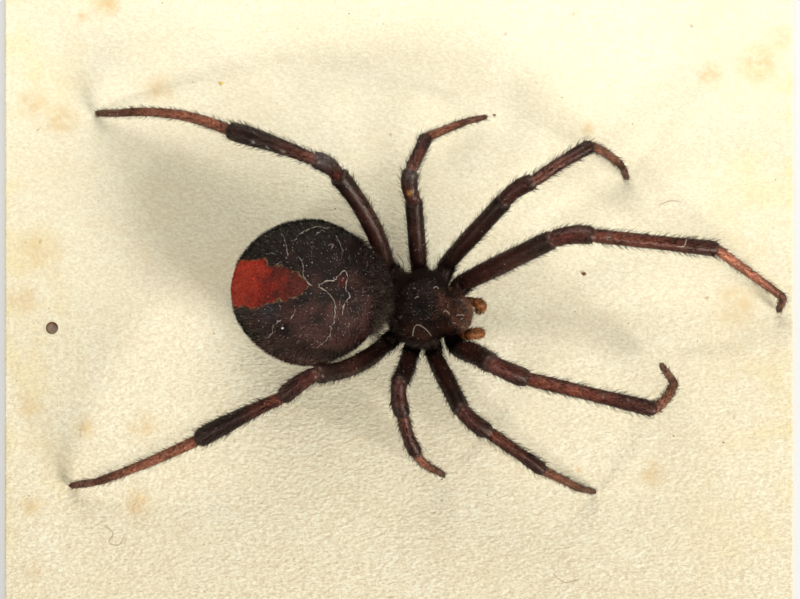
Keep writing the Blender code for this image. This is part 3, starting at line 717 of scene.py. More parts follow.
# Half the side of a hair's own patch of the unwrap, and where its corners lie in the patch
HAIR_PATCH = 0.0015
HAIR_CORNERS = np.array(((-1, -1), (0, -1), (1, -1), (-0.6, 0), (0, 0.1), (0.6, 0), (0, 1))) * HAIR_PATCH
# A root lies this many radii under the skin; at its bend a hair is this share as thick and
# has this share of its lift
ROOT_DEPTH, BEND_GIRTH, BEND_LIFT = 1.5, 0.72, 0.45
# A hair's corners from root to tip, darker at the root and paler at the tip
HAIR_SHADES = np.array((0.8, 0.8, 0.8, 1.0, 1.0, 1.0, 1.35))
hair_material, tree, shader = principled("hair", 0.62, Specular_IOR_Level=0.02)
tree.links.new(mesh_tint(tree), shader.inputs["Base Color"])


def hairs(name, roots, along, normals, lifts, lengths, radii, tints, root_map):
    """Each hair leaves its root between along and the normal by its lift, then bends down to along."""
    count = len(roots)
    lifts = lifts[:, None]
    first = along * np.cos(lifts) + normals * np.sin(lifts)
    second = along * np.cos(lifts * BEND_LIFT) + normals * np.sin(lifts * BEND_LIFT)
    side = np.cross(first, normals)
    side /= np.linalg.norm(side, axis=1, keepdims=True) + 1e-12
    up = np.cross(side, first)
    reach, girth = lengths[:, None], radii[:, None]
    base = roots - first * girth * ROOT_DEPTH
    bend = roots + first * reach * 0.5
    tip = bend + second * reach * 0.5
    points = np.empty((count, 7, 3))
    for corner in range(3):
        turn = corner * 2 * math.pi / 3
        spoke = side * math.cos(turn) + up * math.sin(turn)
        points[:, corner] = base + spoke * girth
        points[:, corner + 3] = bend + spoke * girth * BEND_GIRTH
    points[:, 6] = tip
    start = (np.arange(count) * 7)[:, None, None]
    triangles = start + np.array(((0, 2, 1), (3, 4, 6), (4, 5, 6), (5, 3, 6)))
    quads = start + np.array(((0, 1, 4, 3), (1, 2, 5, 4), (2, 0, 3, 5)))
    colours = (tints[:, None, :] * HAIR_SHADES[None, :, None]).reshape(-1, 3)
    obj = mesh_object(name, (points.reshape(-1, 3), triangles, quads), hair_material, colours)
    spread = (root_map[:, None, :] * (1 - 4 * HAIR_PATCH) + 2 * HAIR_PATCH + HAIR_CORNERS).reshape(-1, 2)
    corners = np.empty(len(obj.data.loops), dtype=np.int32)
    obj.data.loops.foreach_get("vertex_index", corners)
    layer = obj.data.uv_layers.new(name="OFBake")
    layer.data.foreach_set("uv", spread[corners].astype(np.float32).ravel())
    return obj


def body_hairs(name, frame_of, roots, lie, normals, sizes, tints, root_map):
    """Hairs in the frame of one half of the body, each lie turned down onto the surface first.
    Their sizes are their lifts, lengths and radii."""
    along = unit_vectors(lie - normals * np.sum(lie * normals, axis=1, keepdims=True))
    heading = frame_of[0]
    roots, along, normals = turned(roots, *frame_of), turned(along, heading), turned(normals, heading)
    return hairs(name, roots, along, normals, *sizes, tints, root_map)


def ball_map(unit):
    """The unwrap of a ball of directions: the turn round the X axis, and the fall from its front."""
    return stacked(np.arctan2(unit[:, 2], unit[:, 1]) / (2 * math.pi) + 0.5, np.arccos(unit[:, 0]) / math.pi)


rng = np.random.default_rng(31)
unit = unit_vectors(rng.normal(size=(ABDOMEN_HAIRS, 3)))
unit = unit[(unit[:, 2] > COAT_FOOT) & (rng.random(ABDOMEN_HAIRS) > CROWN_THINNING * np.clip(unit[:, 2], 0, 1))]
count = len(unit)
root = abdomen_local(unit, ABDOMEN_COAT)
normals = unit_vectors(unit / np.array([ABDOMEN_REACH[way] for way in ("rear", "side", "top")]))
lie = np.array(COAT_LIE) + rng.normal(scale=COAT_STRAY, size=(count, 3))
hair_tints = abdomen_tint(root) * COAT_SHADE
depth_in = stripe_depth(root) + 0.08 * soft_noise(root / MM, 0.35, 8)
angle_up = np.degrees(np.arctan2(root[:, 2], -root[:, 0]))
fade_up = np.clip((angle_up - 38) / 40 + 0.25 * soft_noise(root / MM, 0.6, 9), 0, 1)
red_hair = tinged(STRIPE_RED, STRIPE_BROWN, fade_up) * RED_HAIR_SHADE
hair_tints = np.where((depth_in > 0.03)[:, None], red_hair, hair_tints)
# Pale hairs grow only high on the ball and are partly painted glints on the coat
pale_share = PALE_SHARE + PALE_IN_FRONT * np.clip(unit[:, 0], 0, 1)
pale = rng.random(count) < pale_share * np.clip(2.2 * unit[:, 2] - 0.6, 0, 1)
shade = rng.uniform(*OWN_SHADES, (count, 1))
brown = rng.random(count) < BROWN_SHARE
for chosen, tint in ((brown, COAT_BROWN), (pale, COAT_PALE_AND_GLINT)):
    chosen = chosen & (depth_in < 0)
    hair_tints[chosen] = tint * shade[chosen]
lengths = rng.uniform(*COAT_LENGTHS, count) * MM * np.where(depth_in > 0, STRIPE_LENGTH, 1.0)
lifts = rng.uniform(*COAT_LIFTS, count) * np.where(depth_in > 0, STRIPE_LIFT, 1.0)
sizes = lifts, lengths, rng.uniform(*COAT_GIRTHS, count) * MM
abdomen_coat = body_hairs("abdomen_coat", ABDOMEN_FRAME, root, lie, normals, sizes, hair_tints, ball_map(unit))


# The pale lines on the abdomen
# Thin wandering lines of cream pigment outline the dark figures of the back. Each is a
# fine thread that lies in the coat, along a few places measured on the photo.
PALE_LINES = (
    ((-0.96, 2.0), (-0.80, 1.85), (-0.72, 1.6), (-0.63, 1.19)),
    ((-0.43, 1.69), (-0.28, 1.98), (-0.02, 2.20), (0.35, 2.28), (0.77, 2.23)),
    ((0.27, 1.98), (0.42, 2.10), (0.6, 2.16)),
    ((0.95, 2.02), (1.11, 1.76), (1.24, 1.46)),
    ((0.72, 1.62), (0.80, 1.70), (0.90, 1.64), (0.86, 1.54), (0.76, 1.54)),
    ((-0.29, 1.25), (-0.07, 0.99), (-0.05, 0.65), (0.15, 0.32), (0.30, 0.24)),
    ((0.50, 0.20), (0.62, 0.36), (0.80, 0.42), (1.1, 0.46), (1.13, 0.63), (1.35, 0.85), (1.51, 0.55)),
    ((1.51, 0.55), (1.48, 0.17), (1.62, 0.01), (1.47, -0.31), (1.36, -0.73)),
    ((0.57, 0.18), (0.86, 0.03), (1.08, -0.23), (1.14, -0.61), (1.10, -0.99), (0.97, -1.45),
     (0.78, -1.75), (0.41, -1.93)),
    ((-0.2, -0.63), (-0.26, -0.84), (-0.41, -1.03)),
    ((-0.72, -0.98), (-0.94, -1.34), (-1.09, -1.69), (-1.29, -1.74)),
    ((-1.03, 0.89), (-0.90, 0.97), (-0.76, 0.98)),
    ((-0.83, -0.47), (-0.76, -0.55), (-0.68, -0.6)),
)
THREAD_RADIUS = 0.019 * MM
THREAD_WANDER = ((0.022, 0.4, 40), (0.012, 0.13, 50))
# How deep in the coat the lines lie
THREAD_DEPTH = ABDOMEN_COAT * 0.4
THREAD_TINT = np.array((0.33, 0.27, 0.21))

thread_material = tinted_material("pale_pigment", 0.6, 0.04 * MM, 0.006 * MM, mottle=0.35)
threads = []
for number, line_places in enumerate(PALE_LINES):
    flat = smooth_path(line_places, 0.03) * MM
    around = np.column_stack((flat, flat[:, 0])) / MM
    wander = ripples(around, THREAD_WANDER, number)
    flat = flat + wander[:, None] * np.array((1.0, -1.0)) * MM
    reach_x = np.where(flat[:, 0] > 0, ABDOMEN_REACH["front"], ABDOMEN_REACH["rear"])
    x = flat[:, 0] / reach_x
    y = flat[:, 1] / (ABDOMEN_REACH["side"] * (1 - ABDOMEN_NARROWING * np.maximum(x, 0) ** 2))
    unit = unit_vectors(stacked(x, y, np.sqrt(np.maximum(1 - x ** 2 - y ** 2, 0.01))))
    path = turned(abdomen_local(unit, THREAD_DEPTH), *ABDOMEN_FRAME)
    swell = 0.66 + 0.50 * soft_noise(path / MM, 0.16, 60 + number)
    ends = np.minimum(np.arange(len(path)), np.arange(len(path))[::-1]) / 3
    radii = THREAD_RADIUS * np.clip(swell, 0.2, 1.4) * np.clip(ends, 0.15, 1)
    threads.append((tube(path, radii, 6)[0], THREAD_TINT))
pale_lines = grid_piece("pale_lines", threads, thread_material)


# The spinnerets
# Six short brown cones on a low ring under the rear of the abdomen, each with a joint
# halfway and a blunt tip where the silk glands open.
SPINNERET_WAY = np.array((-0.72, 0.0, -0.69)) / math.hypot(0.72, 0.69)
SPINNERET_PAIRS = (
    # distance from the axis, angle to each side, radius at the root, length
    (0.20 * MM, 35.0, 0.11 * MM, 0.40 * MM),
    (0.13 * MM, 90.0, 0.065 * MM, 0.26 * MM),
    (0.21 * MM, 148.0, 0.09 * MM, 0.34 * MM),
)
# A cone's radius at shares of its length, and the ring's radius at depths out from the skin
CONE_SHARES = np.array((0.0, 0.25, 0.5, 0.55, 0.8, 0.97, 1.0))[:, None]
CONE_GIRTHS = np.array((1.0, 0.95, 0.82, 0.76, 0.66, 0.5, 0.1))
RING_DEPTHS = np.array((0.0, 0.05, 0.14, 0.19, 0.20))[:, None] * MM
RING_RADII = np.array((0.36, 0.36, 0.345, 0.28, 0.02)) * MM
SPINNERET_BROWN = np.array((0.085, 0.030, 0.016))
cuticle = tinted_material(
    "cuticle", 0.34, 0.020 * MM, 0.013 * MM, mottle=0.75, gloss=0.40, Specular_Tint=WARM_GLOSS
)
root = abdomen_local(SPINNERET_WAY[None], ABDOMEN_COAT)[0]
across = np.array((0.0, 1.0, 0.0))
back = np.cross(across, SPINNERET_WAY)
ring = tube(root + SPINNERET_WAY * RING_DEPTHS, RING_RADII, 32)[0]
cones = [(turned(ring, *ABDOMEN_FRAME), SPINNERET_BROWN * 0.6)]
for offset, angle, radius, length in SPINNERET_PAIRS:
    for turn in (math.radians(angle), -math.radians(angle)):
        foot = root + (back * math.cos(turn) + across * math.sin(turn)) * offset + SPINNERET_WAY * 0.12 * MM
        cone = tube(foot + SPINNERET_WAY * length * CONE_SHARES, CONE_GIRTHS * radius, 16)[0]
        cones.append((turned(cone, *ABDOMEN_FRAME), SPINNERET_BROWN))
spinnerets = grid_piece("spinneret_cones", cones, cuticle)
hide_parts("spinnerets")


# The carapace
# One hard pear-shaped shield, a domed thorax with a pit in its middle from which shallow
# furrows spread, and a narrower, redder head that ends in a steep face.
THORAX_CENTRE = np.array((1.11 * MM, 0.63 * MM, CARD_TOP))
THORAX_HEADING = -10.0
THORAX_FRAME = (THORAX_HEADING, THORAX_CENTRE)
RIM_HEIGHT = 1.95 * MM
CARAPACE_HALF_LENGTH = 1.42 * MM
THORAX_HALF_WIDTH = 1.27 * MM
HEAD_HALF_WIDTH = 0.82 * MM
CARAPACE_DOME = 1.0 * MM
RIM_THICKNESS = 0.06 * MM
CORE_SHARE = 0.66
CORE_DEPTH = 0.62 * MM
# How far the pit lies behind the middle, in mm
PIT_BACK = 0.36
PIT_MIDDLE, PIT_REACH, PIT_DARK_REACH = (-PIT_BACK, 0.0), (0.24, 0.24), (0.28, 0.35)
LOBE_MIDDLE, LOBE_REACH = (-0.33, -0.92), (0.62, 0.34)
# Depths in mm: the pit, the two grooves beside the head, the furrows, and the rim's low lip
PIT_DEPTH, GROOVE_DEPTH, FURROW_DEPTH, RIM_LIP = 0.12, 0.035, 0.024, 0.006
CARAPACE_RIPPLES = ((0.016, 0.5, 71), (0.006, 0.17, 73))
CARAPACE_BLACK = np.array((0.0125, 0.0075, 0.0062))
CARAPACE_MAROON = np.array((0.030, 0.012, 0.009))
LOBE_RED = np.array((0.052, 0.019, 0.012))
HEAD_RED = np.array((0.108, 0.042, 0.027))
FOVEA_DARK = np.array((0.005, 0.006, 0.006))
# First, last and number of the rows down the dome, over the rim and under it
SHIELD_COLUMNS = 200
SHIELD_ROWS = ((0.008, 0.47, 80), (0.475, 0.53, 16), (0.55, 0.99, 34))
SHIELD_TOP_ROWS = 90


def smooth_step(low, high, value):
    """0 below low, 1 above high, and an even curve between."""
    share = np.clip((value - low) / (high - low), 0, 1)
    return share * share * (3 - 2 * share)


def carapace_outline(around):
    """The pear-shaped rim from above: the half width falls from thorax to head."""
    forward, side = np.cos(around), np.sin(around)
    width = THORAX_HALF_WIDTH + (HEAD_HALF_WIDTH - THORAX_HALF_WIDTH) * smooth_step(-0.1, 0.6, forward)
    return stacked(CARAPACE_HALF_LENGTH * forward, width * np.sign(side) * np.abs(side) ** 0.8)


def carapace_local(around, down):
    """A dome down to the rim (down = 0.5), then the rim's underside and the core below it."""
    down = down + 0 * around
    steepness = 2 + 2 * smooth_step(0.0, 0.8, np.cos(around))
    share = np.sin(np.minimum(down, 0.5) * math.pi)
    height = CARAPACE_DOME * np.sqrt(np.maximum(1 - share ** steepness, 0))
    under = np.clip((down - 0.5) / 0.1, 0, 1)
    lower = np.clip((down - 0.6) / 0.25, 0, 1)
    closing = np.clip((down - 0.85) / 0.15, 0, 1)
    share = np.where(down <= 0.5, share, 1 + (CORE_SHARE - 1) * under - 0.06 * lower)
    share = share * (1 - closing)
    height = np.where(down <= 0.5, height, -RIM_THICKNESS * under - (CORE_DEPTH - RIM_THICKNESS) * lower)
    flat = carapace_outline(around) * share[..., None]
    x, y = flat[..., 0] / MM, flat[..., 1] / MM
    top = smooth_step(0.5, 0.42, down)
    pit = PIT_DEPTH * patch(x, y, PIT_MIDDLE, PIT_REACH)
    head_groove = GROOVE_DEPTH * bell((np.abs(y) - 0.30 - 0.28 * (x + PIT_BACK)) / 0.07)
    head_groove = head_groove * smooth_step(-0.45, 0.0, x) * smooth_step(1.1, 0.5, x)
    spokes = np.abs(np.sin(3.0 * np.arctan2(np.abs(y), -(x + PIT_BACK)) + 0.3))
    furrows = FURROW_DEPTH * (1 - spokes) ** 2 * smooth_step(0.15, 0.5, np.hypot(x + PIT_BACK, y))
    furrows = furrows * smooth_step(0.4, -0.2, x)
    relief = ripples(stacked(x, y, height / MM), CARAPACE_RIPPLES)
    lip = RIM_LIP * bell((down - 0.49) / 0.012)
    height = height + (relief - pit - head_groove - furrows) * top * MM + lip * MM
    return stacked(flat[..., 0], flat[..., 1], RIM_HEIGHT + height)


def carapace_tint(local):
    """Black thorax with maroon flanks, a red-brown head, and a greenish black pit."""
    x, y, _ = np.moveaxis(local / MM, -1, 0)
    noise = soft_noise(local / MM, 0.55, 72)
    head = smooth_step(-0.25, 0.95, x + 0.16 * noise) * smooth_step(0.95, 0.35, np.abs(y))
    flank = np.clip(0.35 + 0.4 * noise - 0.4 * y, 0, 1) * smooth_step(0.2, -0.3, x)
    tint = tinged(CARAPACE_BLACK, CARAPACE_MAROON, flank * 0.6)
    tint = tinged(tint, LOBE_RED, patch(x, y, LOBE_MIDDLE, LOBE_REACH) * np.clip(0.8 + 0.3 * noise, 0, 1))
    tint = tinged(tint, HEAD_RED, head * np.clip(0.65 + 0.35 * noise, 0.2, 1))
    return tinged(tint, FOVEA_DARK, patch(x, y, PIT_MIDDLE, PIT_DARK_REACH))


around = np.arange(SHIELD_COLUMNS)[None, :] / SHIELD_COLUMNS * 2 * math.pi
down = np.concatenate([np.linspace(*rows) for rows in SHIELD_ROWS])[:, None]
shield = carapace_local(around, down)
matte_cuticle = tinted_material(
    "matte_cuticle", 0.55, 0.022 * MM, 0.016 * MM, mottle=0.75, gloss=0.17, Specular_Tint=WARM_GLOSS
)
carapace = grid_piece("carapace_shield", [(turned(shield, *THORAX_FRAME), carapace_tint(shield))], matte_cuticle)
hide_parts("carapace")


# The underside of the cephalothorax, and the waist
# A heart-shaped breastplate, the lip with its two lobes in front of it, and the short
# stalk that joins the two halves of the body.
STERNUM_PLACE = np.array((-0.12, 0.0, 1.08)) * MM
STERNUM_REACH = np.array((0.70, 0.60, 0.17)) * MM
MOUTH_PLACE = np.array((0.80, 0.0, 1.12)) * MM
MOUTH_REACH = np.array((0.14, 0.34, 0.16)) * MM
PEDICEL_LENGTH = 1.0 * MM
WAIST_HEADING = -20.0
unit = ball_directions(48, 64)
x, y, _ = np.moveaxis(unit, -1, 0)
heart = unit * STERNUM_REACH * stacked(1.0, 1 + 0.22 * x, 1.0)
heart = heart * (1 + 0.02 * soft_noise(unit, 0.5, 81))[..., None] + STERNUM_PLACE
lobes = 1 - 0.3 * bell(y / 0.22)
mouth = unit * MOUTH_REACH * stacked(lobes, 1.0, 1.0) + MOUTH_PLACE
for name, node, points, tint, slot in (
    ("breastplate", "sternum", heart, CARAPACE_BLACK, "cuticle_black"),
    ("lip_and_lobes", "mouthparts", mouth, HEAD_RED * 0.7, "cuticle_brown"),
):
    plate = grid_piece(name, [(turned(points, *THORAX_FRAME), tint)], cuticle)
    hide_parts(node)

waist_low, waist_high = (np.array(corner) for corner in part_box("pedicel"))
waist_middle = (waist_low + waist_high) / 2
waist_way = turned(np.array((1.0, 0.0, 0.0)), WAIST_HEADING)
along_waist = np.linspace(-0.5, 0.5, 24)[:, None]
waist_path = waist_middle + waist_way * along_waist * PEDICEL_LENGTH
waist_radii = (0.19 - 0.03 * np.cos(along_waist[:, 0] * 14)) * MM
waist = grid_piece("waist_stalk", [(tube(waist_path, waist_radii, 28)[0], CARAPACE_BLACK)], cuticle)
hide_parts("pedicel")


# The eyes
# Eight bare black domes in two rows of four on the front of the head, set half into it.
EYE_RADIUS = 0.075 * MM
EYE_ROWS = (
    # row, angle down from the top, and the angles to each side of its middle and side eyes
    ("rear", 54.0, 9.0, 36.0),
    ("front", 74.0, 8.0, 30.0),
)
EYE_BLACK, EYE_BROWN = (0.004, 0.004, 0.005), (0.020, 0.014, 0.010)
lens, tree, shader = principled("eye_lens", 0.26, Specular_IOR_Level=0.30)
depths = fractal_noise(tree, object_place(tree), 9000.0, 2.0)
tree.links.new(blend_colour(tree, depths, EYE_BLACK, EYE_BROWN), shader.inputs["Base Color"])
unit = ball_directions(20, 28)
for row, fall, middle_angle, side_angle in EYE_ROWS:
    for where, angle in (("middle", middle_angle), ("side", side_angle)):
        for hand, sign in (("left", 1.0), ("right", -1.0)):
            spot = carapace_local(np.array(math.radians(angle) * sign), np.array(fall / 180.0))
            dome = turned(unit * EYE_RADIUS + spot, *THORAX_FRAME)
            eye = mesh_object(f"eye_dome_{row}_{where}_{hand}", closed_grid(dome), lens)
            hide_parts(f"eye_{row}_{where}_{hand}")


# The legs
# Each leg is one run of hard tubes joined by narrow soft necks, its skin a single
# surface from inside the body to the claws. Lengths are those of the pair; the pose is
# the photo's, each joint bending in its own plane.
LEG_LENGTHS = {
    1: (4.55 * MM, 1.40 * MM, 4.45 * MM, 3.80 * MM, 1.20 * MM),
    2: (3.75 * MM, 1.25 * MM, 2.40 * MM, 2.95 * MM, 1.15 * MM),
    3: (2.90 * MM, 1.15 * MM, 1.60 * MM, 1.95 * MM, 1.00 * MM),
    4: (4.35 * MM, 1.50 * MM, 3.50 * MM, 4.65 * MM, 1.30 * MM),
}
LEG_GIRTH = {1: 1.05, 2: 0.94, 3: 0.93, 4: 0.98}
LEG_SHADE = {1: 1.25, 2: 0.84, 3: 0.80, 4: 0.97}
SEGMENTS = ("coxa", "femur", "patella", "tibia", "metatarsus", "tarsus")
# Radii of the skin in mm along each segment, as (share of its length, radius)
SKIN_RADII = {
    "coxa": ((0.0, 0.15), (0.35, 0.23), (0.6, 0.295), (0.85, 0.31), (1.0, 0.295)),
    "femur": ((0.0, 0.285), (0.06, 0.29), (0.2, 0.31), (0.4, 0.325), (0.7, 0.31), (0.92, 0.318), (1.0, 0.30)),
    "patella": ((0.0, 0.265), (0.15, 0.28), (0.3, 0.28), (0.6, 0.305), (0.85, 0.30), (1.0, 0.26)),
    "tibia": ((0.0, 0.21), (0.08, 0.22), (0.35, 0.22), (0.55, 0.215), (0.8, 0.24), (0.94, 0.25), (1.0, 0.22)),
    "metatarsus": ((0.0, 0.15), (0.05, 0.17), (0.3, 0.15), (0.7, 0.135), (0.97, 0.13), (1.0, 0.115)),
    "tarsus": ((0.0, 0.11), (0.1, 0.118), (0.5, 0.115), (0.85, 0.10), (0.95, 0.08), (1.0, 0.035)),
}
HIND_RADII = {
    "femur": (
        (0.0, 0.285), (0.06, 0.29), (0.2, 0.31), (0.4, 0.32), (0.75, 0.305), (0.93, 0.335), (0.985, 0.335), (1.0, 0.30)
    ),
    "patella": ((0.0, 0.235), (0.12, 0.255), (0.3, 0.275), (0.6, 0.305), (0.85, 0.30), (1.0, 0.26)),
    "tibia": (
        (0.0, 0.20), (0.1, 0.215), (0.3, 0.235), (0.5, 0.275), (0.7, 0.32), (0.87, 0.335), (0.96, 0.31), (1.0, 0.24)
    ),
    "metatarsus": ((0.0, 0.17), (0.06, 0.195), (0.4, 0.17), (0.7, 0.15), (0.97, 0.135), (1.0, 0.12)),
    "tarsus": ((0.0, 0.12), (0.1, 0.13), (0.5, 0.13), (0.85, 0.115), (0.95, 0.095), (1.0, 0.045)),
}
UPWARD_BOW = {"femur": 0.03, "patella": 0.02, "tibia": 0.02, "metatarsus": 0.02, "tarsus": 0.0}
HIP_HEIGHT = 1.58 * MM
COXA_SAG = 0.10 * MM
COXA_ANGLES = {1: 50.0, 2: 78.0, 3: 106.0, 4: 136.0}
RESTING_TIP = 0.12 * MM
LEG_POSES = dict(zip([(side, pair) for side in ("left", "right") for pair in (1, 2, 3, 4)], (
    # where the hip lies in the cephalothorax frame, each segment's heading, the height of each
    # segment's end over the card, and how far the femur, patella, tibia and metatarsus bow to
    # their left, all in mm and degrees: the left legs from front to rear, then the right ones
    ((0.94, 1.14), (26.0, 4.9, -5.9, -34.3, -105.5), (4.65, 4.77, 3.55, 1.23), (0.0, 0.09, 0.0, 0.0)),
    ((0.26, 1.69), (47.5, 33.2, 31.8, -28.5, -62.4), (3.92, 4.39, 3.80, 1.17), (0.0, 0.09, 0.04, 0.07)),
    ((-0.65, 1.30), (94.6, 95.5, 65.4, 23.0, 14.6), (3.19, 3.75, 2.79, 1.52), (0.0, 0.10, 0.0, 0.0)),
    ((-1.74, 1.15), (117.9, 147.9, 160.4, 170.2, 178.6), (3.99, 5.15, 3.57, 1.07), (-0.22, -0.10, -0.05, -0.25)),
    ((1.19, -1.16), (-23.5, -22.9, -13.6, 44.0, 123.5), (5.98, 5.55, 5.21, 1.61), (0.06, -0.03, 0.0, -0.10)),
    ((0.36, -1.52), (-63.1, -39.1, -35.3, -27.8, -13.7), (4.70, 4.35, 3.63, 1.13), (0.0, -0.06, 0.0, 0.0)),
    ((-0.46, -1.67), (-111.9, -82.4, -71.2, -42.8, -32.6), (4.30, 4.07, 3.27, 1.56), (0.05, -0.07, -0.07, -0.09)),
    ((-1.39, -1.47), (-157.5, -144.7, -153.3, -157.1, -170.5), (5.14, 4.65, 3.45, 0.97), (0.25, -0.06, -0.05, 0.06)),
)))
LIFTED_TIPS = {("left", 3): 0.9 * MM, ("right", 1): 0.7 * MM, ("right", 3): 0.62 * MM}
CUTICLE_BLACK = (0.017, 0.010, 0.007)
RUSTY_BLACK = (0.052, 0.0155, 0.0105)
DUSKY_BROWN = (0.030, 0.013, 0.009)
HIP_BROWN = (0.046, 0.022, 0.016)
MAROON = (0.078, 0.0200, 0.0145)
DARK_RED = (0.120, 0.031, 0.018)
REDDISH = (0.172, 0.049, 0.027)
RED_BROWN = (0.230, 0.075, 0.038)
BRICK = (0.475, 0.158, 0.083)
WARM_BROWN = (0.280, 0.120, 0.078)
TIP_BROWN = (0.085, 0.038, 0.024)
LEG_TINTS = {
    "coxa": ((0.0, HIP_BROWN), (1.0, HIP_BROWN)),
    "femur": ((0.0, DUSKY_BROWN), (0.3, RUSTY_BLACK), (0.6, RUSTY_BLACK), (0.9, DUSKY_BROWN), (1.0, DUSKY_BROWN)),
    "patella": ((0.0, RUSTY_BLACK), (0.25, MAROON), (0.7, RUSTY_BLACK), (1.0, DUSKY_BROWN)),
    "tibia": ((0.0, DARK_RED), (0.15, REDDISH), (0.5, DARK_RED), (0.8, RUSTY_BLACK), (1.0, RUSTY_BLACK)),
    "metatarsus": ((0.0, RED_BROWN), (0.12, BRICK), (0.6, BRICK), (0.9, RED_BROWN), (1.0, DARK_RED)),
    "tarsus": ((0.0, RED_BROWN), (0.15, WARM_BROWN), (0.7, WARM_BROWN), (1.0, TIP_BROWN)),
}
HIND_TIBIA_TINTS = ((0.0, REDDISH), (0.2, DARK_RED), (0.5, DUSKY_BROWN), (1.0, DUSKY_BROWN))
NECK_TINT = (0.130, 0.050, 0.032)
NECK_HALF_LENGTH = 0.05 * MM
NECK_DEPTHS = (0.2, 1.4, 0.9, 0.8, 0.8)
LIP_DISTANCE, LIP_WIDTH = 0.13 * MM, 0.06 * MM
# How much of its radius a leg loses in a neck and gains at the lip beside it, and how far a
# neck takes its own tint
NECK_SHARE, LIP_SHARE, NECK_TINGE = 0.06, 0.03, 0.22
# Over what distance the sections turn at a bend: the least, the girth that a sharp bend
# multiplies, and the most as a share of the segment
LEAST_MITRE, MITRE_GIRTH, MOST_MITRE = 0.12 * MM, 1.25 * 0.27 * MM, 0.45
ELBOW_ROUNDING = 0.06 * MM
# How much the skin ripples and its colour streaks, and the painted shade on its sides and painted light on its top
# crest
LEG_RIPPLE, LEG_STREAK, LEG_SIDE_SHADE, LEG_CREST_LIGHT = 0.012, 0.16, 0.62, 0.62
# The skin's columns, the fewest rows of a segment, the longest step between rows, and how
# evenly the rows lie: the rest of that share crowds them towards the joints
LEG_COLUMNS, FEWEST_ROWS, ROW_STEP, EVEN_SHARE = 28, 14, 0.11 * MM, 0.35
LEG_MARKS = (
    # leg, place on the card in mm, distance across in mm, colour, strength
    (("left", 3), (0.37, 4.665), 0.16, (0.62, 0.27, 0.05), 0.9),
    (("left", 3), (0.47, 4.71), 0.07, (0.85, 0.78, 0.62), 0.9),
    (("left", 3), (0.43, 5.25), 0.55, (0.065, 0.055, 0.050), 0.6),
    (("left", 4), (-2.13, 5.23), 0.22, (0.13, 0.018, 0.010), 0.8),
    (("left", 4), (-2.53, 5.77), 0.75, (0.075, 0.060, 0.056), 0.75),
    (("left", 4), (-5.00, 6.38), 0.09, (0.60, 0.55, 0.45), 0.8),
    (("left", 4), (-4.50, 6.20), 0.07, (0.60, 0.55, 0.45), 0.8),
    (("left", 4), (-3.98, 6.06), 0.09, (0.60, 0.55, 0.45), 0.8),
    (("left", 1), (7.17, 3.10), 0.12, (0.50, 0.42, 0.32), 0.7),
    # A reddish painted highlight on the hip of the first left leg
    (("left", 1), (2.36, 1.45), 0.60, (0.075, 0.020, 0.014), 0.7),
    (("right", 1), (6.95, -2.29), 0.12, (0.40, 0.28, 0.18), 0.6),
    (("right", 1), (7.77, -2.43), 0.12, (0.40, 0.28, 0.18), 0.6),
    (("right", 2), (3.12, -3.57), 0.16, (0.36, 0.22, 0.14), 0.6),
)


def leg_joints(side, pair):
    """The joints from the root inside the body to the tip, and each segment's bow. A segment
    reaches sideways by the root of its length squared less its rise squared."""
    hip_place, headings, heights, bows = LEG_POSES[side, pair]
    angle = math.radians(COXA_ANGLES[pair]) * (1.0 if side == "left" else -1.0)
    wall = carapace_outline(np.array(angle)) * CORE_SHARE * 0.9
    root = np.array((*wall, RIM_HEIGHT - CORE_DEPTH * 0.6))
    hip = np.array((hip_place[0] * MM, hip_place[1] * MM, HIP_HEIGHT))
    joints = [turned(root, *THORAX_FRAME), turned(hip, *THORAX_FRAME)]
    tip = LIFTED_TIPS.get((side, pair), RESTING_TIP)
    ends = [height * MM for height in heights] + [tip]
    for length, heading, end in zip(LEG_LENGTHS[pair], headings, ends):
        rise = CARD_TOP + end - joints[-1][2]
        reach = math.sqrt(length ** 2 - rise ** 2)
        turn = math.radians(heading)
        joints.append(joints[-1] + np.array((reach * math.cos(turn), reach * math.sin(turn), rise)))
    return joints, dict(zip(SEGMENTS[1:], bows))


def stops(table, share):
    """Values at each share of a segment, read from its few named stops."""
    places = [place for place, value in table]
    values = np.array([value for place, value in table])
    if values.ndim == 1:
        return np.interp(share, places, values)
    return stacked(*(np.interp(share, places, column) for column in values.T))


def rounded_path(path, width):
    """The path averaged over a bell of the given width along itself, its two ends left in place."""
    along = summed(path_steps(path))
    share = np.gradient(along)[None, :] * np.exp(-0.5 * ((along[:, None] - along[None, :]) / width) ** 2)
    smooth = share @ path / share.sum(axis=1, keepdims=True)
    inner = np.clip(np.minimum(along, along[-1] - along) / (4 * width), 0, 1)[:, None]
    return path + (smooth - path) * inner


